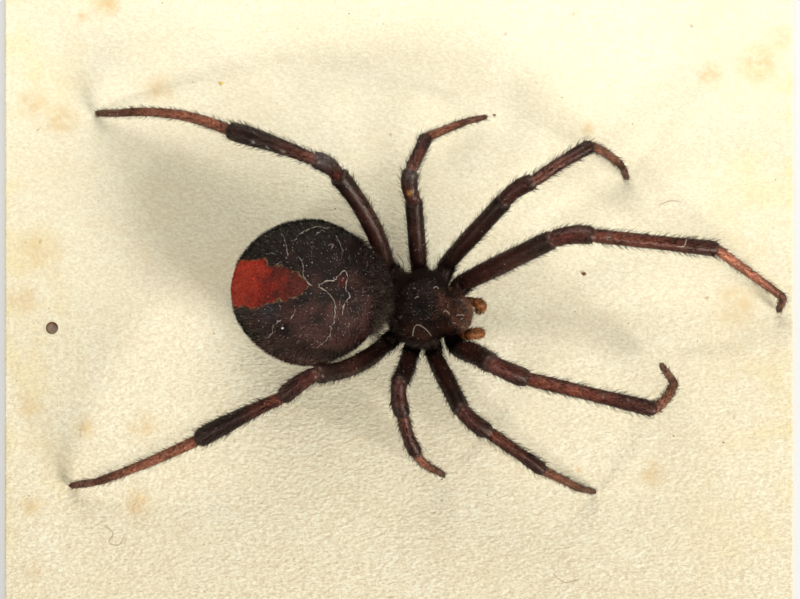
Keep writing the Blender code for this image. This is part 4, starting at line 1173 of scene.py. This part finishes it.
def leg_stations(side, pair):
    """Rows along the whole leg: place, tangent, section plane, radius and tint. Near a joint the
    section turns onto the plane that halves the bend, and the radius dips into a soft neck."""
    joints, bows = leg_joints(side, pair)
    rows = {"place": [], "plane": [], "radius": [], "tint": [], "neck": [], "kind": []}
    segments = []
    for number, kind in enumerate(SEGMENTS):
        start, end = joints[number], joints[number + 1]
        chord = end - start
        length = np.linalg.norm(chord)
        share = np.linspace(0, 1, int(FEWEST_ROWS + length / ROW_STEP))
        share = EVEN_SHARE * share + (1 - EVEN_SHARE) * (0.5 - 0.5 * np.cos(math.pi * share))
        left = np.array((-chord[1], chord[0], 0.0)) / math.hypot(chord[0], chord[1])
        rise = UPWARD_BOW[kind] * length if kind in UPWARD_BOW else -COXA_SAG
        bow = left * bows.get(kind, 0.0) * MM + np.array((0.0, 0.0, rise))
        place = start + chord * share[:, None] + bow * (4 * share * (1 - share))[:, None]
        tangent = unit_vectors(chord + bow * (4 - 8 * share)[:, None])
        girths = HIND_RADII.get(kind, SKIN_RADII[kind]) if pair == 4 else SKIN_RADII[kind]
        radius = stops(girths, share) * MM * LEG_GIRTH[pair]
        tint_stops = HIND_TIBIA_TINTS if (pair, kind) == (4, "tibia") else LEG_TINTS[kind]
        segments.append((place, tangent, radius, stops(tint_stops, share), share * length, length))
    for number, (place, tangent, radius, tint, along, length) in enumerate(segments):
        plane = tangent.copy()
        neck = np.zeros(len(along))
        lip = np.zeros(len(along))
        for other, distance in ((number - 1, along), (number + 1, length - along)):
            if not 0 <= other < len(segments):
                continue
            near = segments[other][1][-1] if other < number else segments[other][1][0]
            own = tangent[0] if other < number else tangent[-1]
            middle = (near + own) / np.linalg.norm(near + own)
            half_bend = math.acos(min(1.0, float(middle @ own)))
            reach = max(LEAST_MITRE, MITRE_GIRTH * half_bend / math.cos(half_bend) ** 2)
            turn = np.clip(1 - distance / min(reach, MOST_MITRE * length), 0, 1)[:, None]
            plane = plane * (1 - turn) + middle * turn
            depth = NECK_DEPTHS[min(number, other)]
            neck = np.maximum(neck, depth * bell(distance / NECK_HALF_LENGTH))
            lip = np.maximum(lip, depth * bell((distance - LIP_DISTANCE) / LIP_WIDTH))
        plane = unit_vectors(plane)
        radius = radius * (1 - NECK_SHARE * neck + LIP_SHARE * lip)
        tint = tinged(tint, NECK_TINT, NECK_TINGE * neck)
        keep = slice(0 if number == 0 else 1, None)
        for key, value in zip(rows, (place, plane, radius, tint, neck, np.full(len(along), number))):
            rows[key].append(value[keep])
    rows = {key: np.concatenate(value) for key, value in rows.items()}
    rows["place"] = rounded_path(rows["place"], ELBOW_ROUNDING)
    rows["tangent"] = path_tangents(rows["place"])
    return rows


leg_rows = {}
for side, pair in LEG_POSES:
    rows = leg_stations(side, pair)
    skin, rows["side"], rows["up"] = tube(rows["place"], rows["radius"], LEG_COLUMNS, rows["tangent"], rows["plane"])
    skin = skin + (skin - rows["place"][:, None]) * (LEG_RIPPLE * soft_noise(skin / MM, 0.6, 90 + pair))[..., None]
    tints = np.repeat(rows["tint"][:, None], LEG_COLUMNS, axis=1)
    streak = 1 + LEG_STREAK * soft_noise(skin / MM, 0.9, 95 + pair)[..., None]
    # The top of each leg is painted lighter and its sides darker: painted light and painted shade
    lit_crest = np.clip((skin[..., 2] - rows["place"][:, None, 2]) / rows["radius"][:, None], 0, 1)[..., None]
    tints = tints * np.clip(streak, 0.6, 1.5) * (LEG_SIDE_SHADE + LEG_CREST_LIGHT * lit_crest ** 4) * LEG_SHADE[pair]
    for marked, spot, across, mark_tint, strength in LEG_MARKS:
        if marked == (side, pair):
            away = np.linalg.norm(skin[..., :2] / MM - spot, axis=-1)
            over = strength * bell(away / (across / 2)) * (skin[..., 2] > rows["place"][:, None, 2])
            tints = tinged(tints, mark_tint, over)
    leg = grid_piece(f"leg_skin_{side}_{pair}", [(skin, tints)], cuticle)
    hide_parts(*[f"leg_{side}_{pair}_{node}" for node in ("coxa", "femur", "patella", "tibia", "foot")])
    leg_rows[side, pair] = rows


# The legs' coat
# Two kinds of dark hair grow on every segment: a close fine coat that lies slantwise
# towards the tip, and longer stiff bristles that stand out from it. The necks are bare.
FINE_HAIRS = {"per_mm": 480, "lengths": (0.06, 0.14), "lifts": (0.30, 0.85), "radii": (0.0035, 0.0055)}
BRISTLES = {"per_mm": 125, "lengths": (0.21, 0.40), "lifts": (0.50, 0.98), "radii": (0.0055, 0.0080)}
HAIR_SHORTENING = (1.05, 0.85, 0.85, 1.0, 0.75, 0.55)
HAIR_DARK = np.array((0.016, 0.010, 0.008))
HAIR_BROWN = np.array((0.070, 0.034, 0.020))
HAIR_GLINT = np.array((0.22, 0.17, 0.12))
# The hips are twice as hairy; roots lie a little inside the skin; hairs stray to each side
HIP_DENSITY, ROOT_REACH, LIMB_STRAY = 2.0, 0.97, 0.16


def limb_roots(rows, count, rng):
    """Random places round a limb, more where it is thick and none in its necks."""
    steps = path_steps(rows["place"])
    along = summed(steps)
    weight = rows["radius"] ** 0.5 * np.maximum(1 - rows["neck"], 0)
    weight = weight * np.where(rows["kind"] == 0, HIP_DENSITY, 1.0) + 1e-9
    share = summed((weight[1:] + weight[:-1]) / 2 * steps)
    spot = np.interp(rng.random(count) * share[-1], share, along)

    def at(key):
        """The limb's own values at each root, on straight lines between its rows."""
        return stacked(*(np.interp(spot, along, column) for column in np.atleast_2d(rows[key].T)))

    turn = rng.uniform(0, 2 * math.pi, count)
    spoke = unit_vectors(at("side") * np.cos(turn)[:, None] + at("up") * np.sin(turn)[:, None])
    roots = at("place") + spoke * at("radius") * ROOT_REACH
    return roots, unit_vectors(at("tangent")), spoke, at("kind")[:, 0], stacked(turn / (2 * math.pi), spot / along[-1])


def limb_coat(name, rows, coats, tint_of, seed):
    """The hairs of a limb, each kind of coat with its own count, length, lift and girth."""
    rng = np.random.default_rng(seed)
    reach = path_steps(rows["place"]).sum() / MM
    sown = []
    for coat in coats:
        count = int(coat["per_mm"] * reach)
        roots, tangent, spoke, kind, root_map = limb_roots(rows, count, rng)
        lie = unit_vectors(tangent + np.cross(tangent, spoke) * rng.normal(scale=LIMB_STRAY, size=count)[:, None])
        sizes = rng.uniform(*coat["lengths"], count) * MM * np.interp(kind, range(6), HAIR_SHORTENING)
        lifts = rng.uniform(*coat["lifts"], count)
        girths = rng.uniform(*coat["radii"], count) * MM
        sown.append((roots, lie, spoke, lifts, sizes, girths, tint_of(kind, rng), root_map))
    return hairs(name, *(np.concatenate(part) for part in zip(*sown)))


def leg_hair_tint(kind, rng):
    """Dark on the thick segments, brown on the feet, a few hairs painted pale as painted glints."""
    tints = tinged(HAIR_DARK, HAIR_BROWN, np.clip(kind - 3.2, 0, 1)) * rng.uniform(0.6, 1.5, (len(kind), 1))
    tints[rng.random(len(kind)) < 0.03] = HAIR_GLINT
    return tints


coats = (FINE_HAIRS, BRISTLES)
for number, (side, pair) in enumerate(LEG_POSES):
    coat = limb_coat(f"leg_coat_{side}_{pair}", leg_rows[side, pair], coats, leg_hair_tint, 100 + number)


# The claws
# A pair of dark hooks at the end of each foot.
CLAW_LENGTH = 0.07 * MM
CLAW_BLACK = np.array((0.02, 0.012, 0.01))
DOWNWARD = np.array((0.0, 0.0, -1.0))
claws = []
share = np.linspace(0, 1, 7)[:, None]
for rows in leg_rows.values():
    tip, ahead, across = rows["place"][-1], rows["tangent"][-1], rows["side"][-1]
    for sign in (1.0, -1.0):
        hook = tip + ahead * CLAW_LENGTH * (share - 0.3) + across * sign * (0.012 + 0.015 * share) * MM
        hook = hook + DOWNWARD * 0.02 * MM * share ** 2
        claws.append((tube(hook, np.linspace(0.012, 0.003, 7) * MM, 8)[0], CLAW_BLACK))
claw_piece = grid_piece("claws", claws, cuticle)


# The mouth limbs
# Two fanged jaws hang under the face. The palps beside them are short orange-brown
# feelers with blunt bristly ends.
CHELICERA_STATIONS = (
    # forward, sideways, height and radius, in mm
    (1.20, 0.18, 1.84, 0.125), (1.22, 0.18, 1.62, 0.14), (1.23, 0.18, 1.35, 0.135),
    (1.20, 0.165, 1.14, 0.10), (1.17, 0.12, 1.05, 0.045), (1.14, 0.08, 1.00, 0.012),
)
PALP_STATIONS = {
    "left": (
        (0.90, 0.32, 1.46, 0.12), (1.10, 0.50, 1.50, 0.15), (1.36, 0.52, 1.62, 0.17), (1.58, 0.51, 1.66, 0.19),
        (1.70, 0.44, 1.52, 0.20), (1.65, 0.32, 1.30, 0.17), (1.58, 0.24, 1.08, 0.08),
    ),
    "right": (
        (0.90, -0.32, 1.46, 0.12), (1.08, -0.56, 1.52, 0.16), (1.30, -0.62, 1.66, 0.19), (1.54, -0.57, 1.72, 0.21),
        (1.74, -0.52, 1.62, 0.20), (1.85, -0.49, 1.44, 0.17), (1.89, -0.47, 1.26, 0.07),
    ),
}
AMBER = (0.25, 0.080, 0.018)
PALP_TINTS = ((0.0, DARK_RED), (0.3, (0.14, 0.04, 0.015)), (0.5, AMBER), (0.85, AMBER), (1.0, (0.12, 0.04, 0.02)))
JAW_TINTS = ((0.0, RUSTY_BLACK), (0.4, RED_BROWN), (0.75, DARK_RED), (1.0, CUTICLE_BLACK))
JAW_NECKS, PALP_NECKS = (0.72,), (0.22, 0.42, 0.60)
MOUTH_COLUMNS = 24
PALP_HAIRS = {"per_mm": 200, "lengths": (0.09, 0.20), "lifts": (0.35, 0.9), "radii": (0.0045, 0.007)}
JAW_HAIRS = {"per_mm": 140, "lengths": (0.08, 0.16), "lifts": (0.3, 0.8), "radii": (0.0045, 0.0065)}


def mouth_limb(name, node, stations, mirror, tints, necks):
    """A tube through its stations, which a mirror of -1 takes to the other side."""
    stations = np.array(stations) * np.array((1.0, mirror, 1.0, 1.0)) * MM
    fine = smooth_path(stations, 0.025 * MM)
    place = turned(fine[:, :3], *THORAX_FRAME)
    share = np.linspace(0, 1, len(fine))
    neck = sum(bell((share - at_share) / 0.018) for at_share in necks)
    radius = np.maximum(fine[:, 3], 0.004 * MM) * (1 - 0.14 * neck)
    skin, sides, ups = tube(place, radius, MOUTH_COLUMNS)
    tint = stops(tints, share) * (1 - 0.4 * neck)[:, None]
    tint = np.repeat(tint[:, None], MOUTH_COLUMNS, axis=1) * (1 + 0.3 * soft_noise(skin / MM, 0.22, 130))[..., None]
    piece = grid_piece(name, [(skin, tint)], cuticle)
    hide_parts(node)
    rows = {"place": place, "radius": radius, "neck": neck, "side": sides, "up": ups, "kind": share}
    return rows | {"tangent": path_tangents(place)}


def palp_hair_tint(kind, rng):
    """Brown, darker towards the tip."""
    return HAIR_BROWN * (1.3 - 0.9 * kind)[:, None] * rng.uniform(0.6, 1.4, len(kind))[:, None]


for number, (side, sign) in enumerate((("left", 1.0), ("right", -1.0))):
    jaw = mouth_limb(
        f"jaw_{side}", f"chelicera_{side}", CHELICERA_STATIONS, sign, JAW_TINTS, JAW_NECKS
    )
    palp = mouth_limb(
        f"palp_skin_{side}", f"palp_{side}", PALP_STATIONS[side], 1.0, PALP_TINTS, PALP_NECKS
    )
    palp_coat = limb_coat(f"palp_coat_{side}", palp, (PALP_HAIRS,), palp_hair_tint, 140 + number)
    jaw_coat = limb_coat(f"jaw_coat_{side}", jaw, (JAW_HAIRS,), palp_hair_tint, 150 + number)


# The carapace's hairs
# Sparse short bristles stand over the shield, closer on the head and round the eyes.
CARAPACE_HAIRS = 9000
BODY_GIRTHS = (0.004, 0.0065)
SHIELD_LIFTS, SHIELD_LENGTHS = (0.3, 0.9), (0.07, 0.15)
FACE_PALE_AND_GLINT, FACE_RED_AND_GLINT = np.array((0.36, 0.29, 0.22)), np.array((0.26, 0.105, 0.050))


def body_sizes(lifts, lengths, stretch):
    """Random lifts, lengths and radii of hairs, each length stretched by its own factor."""
    count = len(stretch)
    sizes = rng.uniform(*lifts, count), rng.uniform(*lengths, count) * MM * stretch
    return *sizes, rng.uniform(*BODY_GIRTHS, count) * MM


rng = np.random.default_rng(160)
around = rng.uniform(0, 2 * math.pi, CARAPACE_HAIRS)
down = np.arccos(1 - rng.random(CARAPACE_HAIRS)) / math.pi * 0.98 + 0.005
forward_bias = np.cos(around) * np.sin(down * math.pi)
kept = rng.random(CARAPACE_HAIRS) < 0.7 + 0.3 * smooth_step(-0.1, 0.6, forward_bias)
around, down = around[kept], down[kept]
step = 1e-3
root = carapace_local(around, down)
ahead = carapace_local(around + step, down) - root
below = carapace_local(around, down + step) - root
normals = unit_vectors(np.cross(below, ahead))
normals *= np.sign(normals[:, 2:3] + 1e-9)
lie = np.array((0.8, 0.0, 0.1)) + rng.normal(scale=0.9, size=root.shape)
count = len(root)
hair_tints = carapace_tint(root) * rng.uniform(0.3, 3.2, (count, 1))
# The face's pale and red-brown hairs are partly its own hairs and partly painted glints
face = smooth_step(0.60, 0.92, forward_bias[kept])
hair_tints[rng.random(count) < 0.03 + 0.30 * face] = FACE_PALE_AND_GLINT
hair_tints[rng.random(count) < 0.04 + 0.30 * face] = FACE_RED_AND_GLINT
sizes = body_sizes(SHIELD_LIFTS, SHIELD_LENGTHS, 1 + 0.5 * face)
root_map = stacked(around / (2 * math.pi), down)
shield_coat = body_hairs("carapace_coat", THORAX_FRAME, root, lie, normals, sizes, hair_tints, root_map)


# The fuzz at the waist
# Longer soft hairs close the notch between the abdomen and the carapace: grey-brown on
# the photo's lower side, near-black above. A few pale fibres lie on the carapace.
WAIST_HAIRS = 6200
FUZZ_DARK = np.array((0.034, 0.021, 0.016))
FUZZ_GREY = np.array((0.15, 0.115, 0.085))
FRONT_LIFTS, FRONT_LENGTHS = (0.5, 1.3), (0.16, 0.50)
REAR_LIFTS, REAR_LENGTHS = (0.4, 1.2), (0.12, 0.40)
# The way from the abdomen's centre to the waist, and how far the roots spread round it
WAIST_WAY, WAIST_SPREAD = (1.0, -0.10, 0.0), (0.16, 0.68, 0.60)
# The share of grey hairs low on the abdomen, all over it, and low on the carapace
GREY_LOW, GREY_ANYWHERE, GREY_REAR = 0.62, 0.08, 0.22
FIBRE_LIFT, FIBRE_RADIUS = 0.055 * MM, 0.009 * MM
FIBRE_PALE = (0.55, 0.46, 0.37)
CARAPACE_FIBRES = (
    # places in the cephalothorax frame, in mm
    ((-0.47, -1.00), (-0.48, -0.75), (-0.42, -0.57), (-0.22, -0.60), (0.0, -0.72), (0.16, -0.88)),
    ((-0.05, 0.76), (0.01, 0.83), (0.08, 0.83), (0.12, 0.77)),
    ((0.42, 0.00), (0.48, 0.07), (0.58, 0.05), (0.65, -0.05)),
    ((0.90, -0.04), (0.96, 0.03), (1.02, -0.02), (1.08, 0.04), (1.15, 0.01)),
    ((1.06, -0.15), (1.12, -0.08), (1.18, -0.14)),
    ((0.80, -0.32), (0.86, -0.27), (0.93, -0.32)),
    ((1.12, -0.42), (1.20, -0.36), (1.26, -0.40)),
    ((0.95, 0.52), (1.10, 0.50), (1.22, 0.40), (1.30, 0.26)),
    ((-0.62, 0.30), (-0.56, 0.38), (-0.50, 0.36)),
    ((-0.74, 0.62), (-0.70, 0.66), (-0.66, 0.63)),
)


def fuzz_tints(grey, shades):
    """Grey-brown where grey says so, near-black elsewhere, each hair with its own shade."""
    return np.where(grey[:, None], FUZZ_GREY, FUZZ_DARK) * rng.uniform(*shades, (len(grey), 1))


rng = np.random.default_rng(170)
ways = rng.normal(scale=WAIST_SPREAD, size=(WAIST_HAIRS, 3)) + np.array(WAIST_WAY)
unit = unit_vectors(ways)
front = unit[(unit[:, 2] > -0.6) & ((unit[:, 0] > 0.80) | (unit[:, 1] > 0))]
count = len(front)
root = abdomen_local(front, ABDOMEN_COAT)
lie = np.array((0.75, 0.0, 0.20)) + np.array((0.0, 0.7, 0.0)) * np.minimum(front[:, 1:2], 0)
lie = lie + rng.normal(scale=0.35, size=(count, 3))
lower = smooth_step(0.3, -1.0, root[:, 1] / MM + 0.3 * rng.normal(size=count))
grey = (lower * GREY_LOW > rng.random(count)) | (rng.random(count) < GREY_ANYWHERE)
sizes = body_sizes(FRONT_LIFTS, FRONT_LENGTHS, 1 + 0.4 * np.clip(-2 * front[:, 1], 0, 1))
tints = fuzz_tints(grey, (0.3, 1.7))
waist_fuzz = body_hairs("waist_fuzz", ABDOMEN_FRAME, root, lie, front, sizes, tints, ball_map(front))

around = rng.uniform(math.pi - 1.9, math.pi + 1.9, WAIST_HAIRS)
down = rng.uniform(0.33, 0.56, WAIST_HAIRS)
root = carapace_local(around, down)
outward = unit_vectors(stacked(np.cos(around), np.sin(around), 0.35))
lie = np.array((-0.8, 0.0, -0.1)) + rng.normal(scale=0.5, size=root.shape)
lower = smooth_step(0.2, -0.8, root[:, 1] / MM + 0.3 * rng.normal(size=WAIST_HAIRS))
grey = lower * GREY_REAR > rng.random(WAIST_HAIRS)
sizes = body_sizes(REAR_LIFTS, REAR_LENGTHS, np.ones(WAIST_HAIRS))
tints = fuzz_tints(grey, (0.6, 1.5))
root_map = stacked(around / (2 * math.pi) % 1.0, down)
rear_fuzz = body_hairs("carapace_rear_fuzz", THORAX_FRAME, root, lie, outward, sizes, tints, root_map)

dome = shield[:SHIELD_TOP_ROWS].reshape(-1, 3)
fibres = []
for places in CARAPACE_FIBRES:
    flat = smooth_path(places, 0.05) * MM
    nearest = np.argmin(((flat[:, None] - dome[None, :, :2]) ** 2).sum(axis=-1), axis=1)
    path = rounded_path(np.column_stack((flat, dome[nearest, 2] + FIBRE_LIFT)), 0.08 * MM)
    fibres.append((thread(turned(path, *THORAX_FRAME), FIBRE_RADIUS), FIBRE_PALE))
carapace_fibres = grid_piece("carapace_fibres", fibres, thread_material)


# The dust
# Specks of pale dust cling to the hairs everywhere, as on any old dry specimen, and one
# pale fibre has caught on a front leg. Each speck is a tiny eight-sided grain; the whitest
# are partly painted glints on the hairs, and one white grain on the abdomen is a painted glint.
DUST_ON_ABDOMEN = 850
DUST_ON_CARAPACE = 60
DUST_PER_LEG = 170
DUST_SIZES = (0.007 * MM, 0.020 * MM)
# How far over the skin the dust lies in the hairs, in mm
DUST_OVER_ABDOMEN, DUST_OVER_SHIELD, DUST_OVER_LEG = (0.04, 0.11), (0.02, 0.06), (0.01, 0.06)
DUST_DULL, DUST_AND_GLINT_WHITE = np.array((0.22, 0.175, 0.135)), np.array((0.80, 0.74, 0.64))
# The way from the abdomen's centre to its one white grain, a painted glint, and the grain's size
GLINT_GRAIN_WAY, GLINT_GRAIN_SIZE = (-0.62 / 2.6, -1.24 / 2.5), 0.045 * MM
LEG_FIBRE = ((9.355, 2.933, 4.20), (9.561, 2.814, 4.27), (9.766, 2.83, 4.28), (9.852, 3.053, 4.20))
LEG_FIBRE_TINT, LEG_FIBRE_RADIUS = (0.50, 0.40, 0.30), 0.011 * MM
rng = np.random.default_rng(180)
ways = unit_vectors(rng.normal(size=(DUST_ON_ABDOMEN, 3)) + np.array((0.3, 0.0, 0.6)))
# The first grain is a white painted glint on the abdomen
ways[0, :2] = GLINT_GRAIN_WAY
ways[0, 2] = math.sqrt(1 - ways[0, 0] ** 2 - ways[0, 1] ** 2)
ways = ways[(stripe_depth(abdomen_local(ways, 0.0)) < 0) | (rng.random(DUST_ON_ABDOMEN) < 0.2)]
depth = ABDOMEN_COAT - rng.uniform(*DUST_OVER_ABDOMEN, (len(ways), 1)) * MM
spots = [turned(abdomen_local(ways, 0.0) - ways * depth, *ABDOMEN_FRAME)]
shield_spots = carapace_local(rng.uniform(0, 2 * math.pi, DUST_ON_CARAPACE), rng.uniform(0.02, 0.45, DUST_ON_CARAPACE))
shield_spots[:, 2] += rng.uniform(*DUST_OVER_SHIELD, DUST_ON_CARAPACE) * MM
spots.append(turned(shield_spots, *THORAX_FRAME))
for rows in leg_rows.values():
    roots, _, spoke, _, _ = limb_roots(rows, DUST_PER_LEG, rng)
    spots.append(roots + spoke * rng.uniform(*DUST_OVER_LEG, (DUST_PER_LEG, 1)) * MM)
spots = np.concatenate(spots)
count = len(spots)
sizes = rng.uniform(*DUST_SIZES, count)
sizes[0] = GLINT_GRAIN_SIZE
axes = np.concatenate((np.eye(3), -np.eye(3)))[None] * rng.uniform(0.6, 1.3, (count, 6, 1))
grains = spots[:, None] + axes * sizes[:, None, None]
faces = ((0, 1, 2), (1, 3, 2), (3, 4, 2), (4, 0, 2), (1, 0, 5), (3, 1, 5), (4, 3, 5), (0, 4, 5))
triangles = (np.arange(count) * 6)[:, None, None] + np.array(faces)
# The whitest grains are partly painted glints on the hairs
white = rng.random(count) ** 3
white[0] = 1.0
tints = np.repeat(tinged(DUST_DULL, DUST_AND_GLINT_WHITE, white), 6, axis=0)
dust = mesh_object("dust_grains", (grains.reshape(-1, 3), triangles, []), thread_material, tints)

path = smooth_path(LEG_FIBRE, 0.05) * MM + np.array((0.0, 0.0, CARD_TOP))
leg_fibre = grid_piece("leg_fibre", [(thread(path, LEG_FIBRE_RADIUS), LEG_FIBRE_TINT)], thread_material)
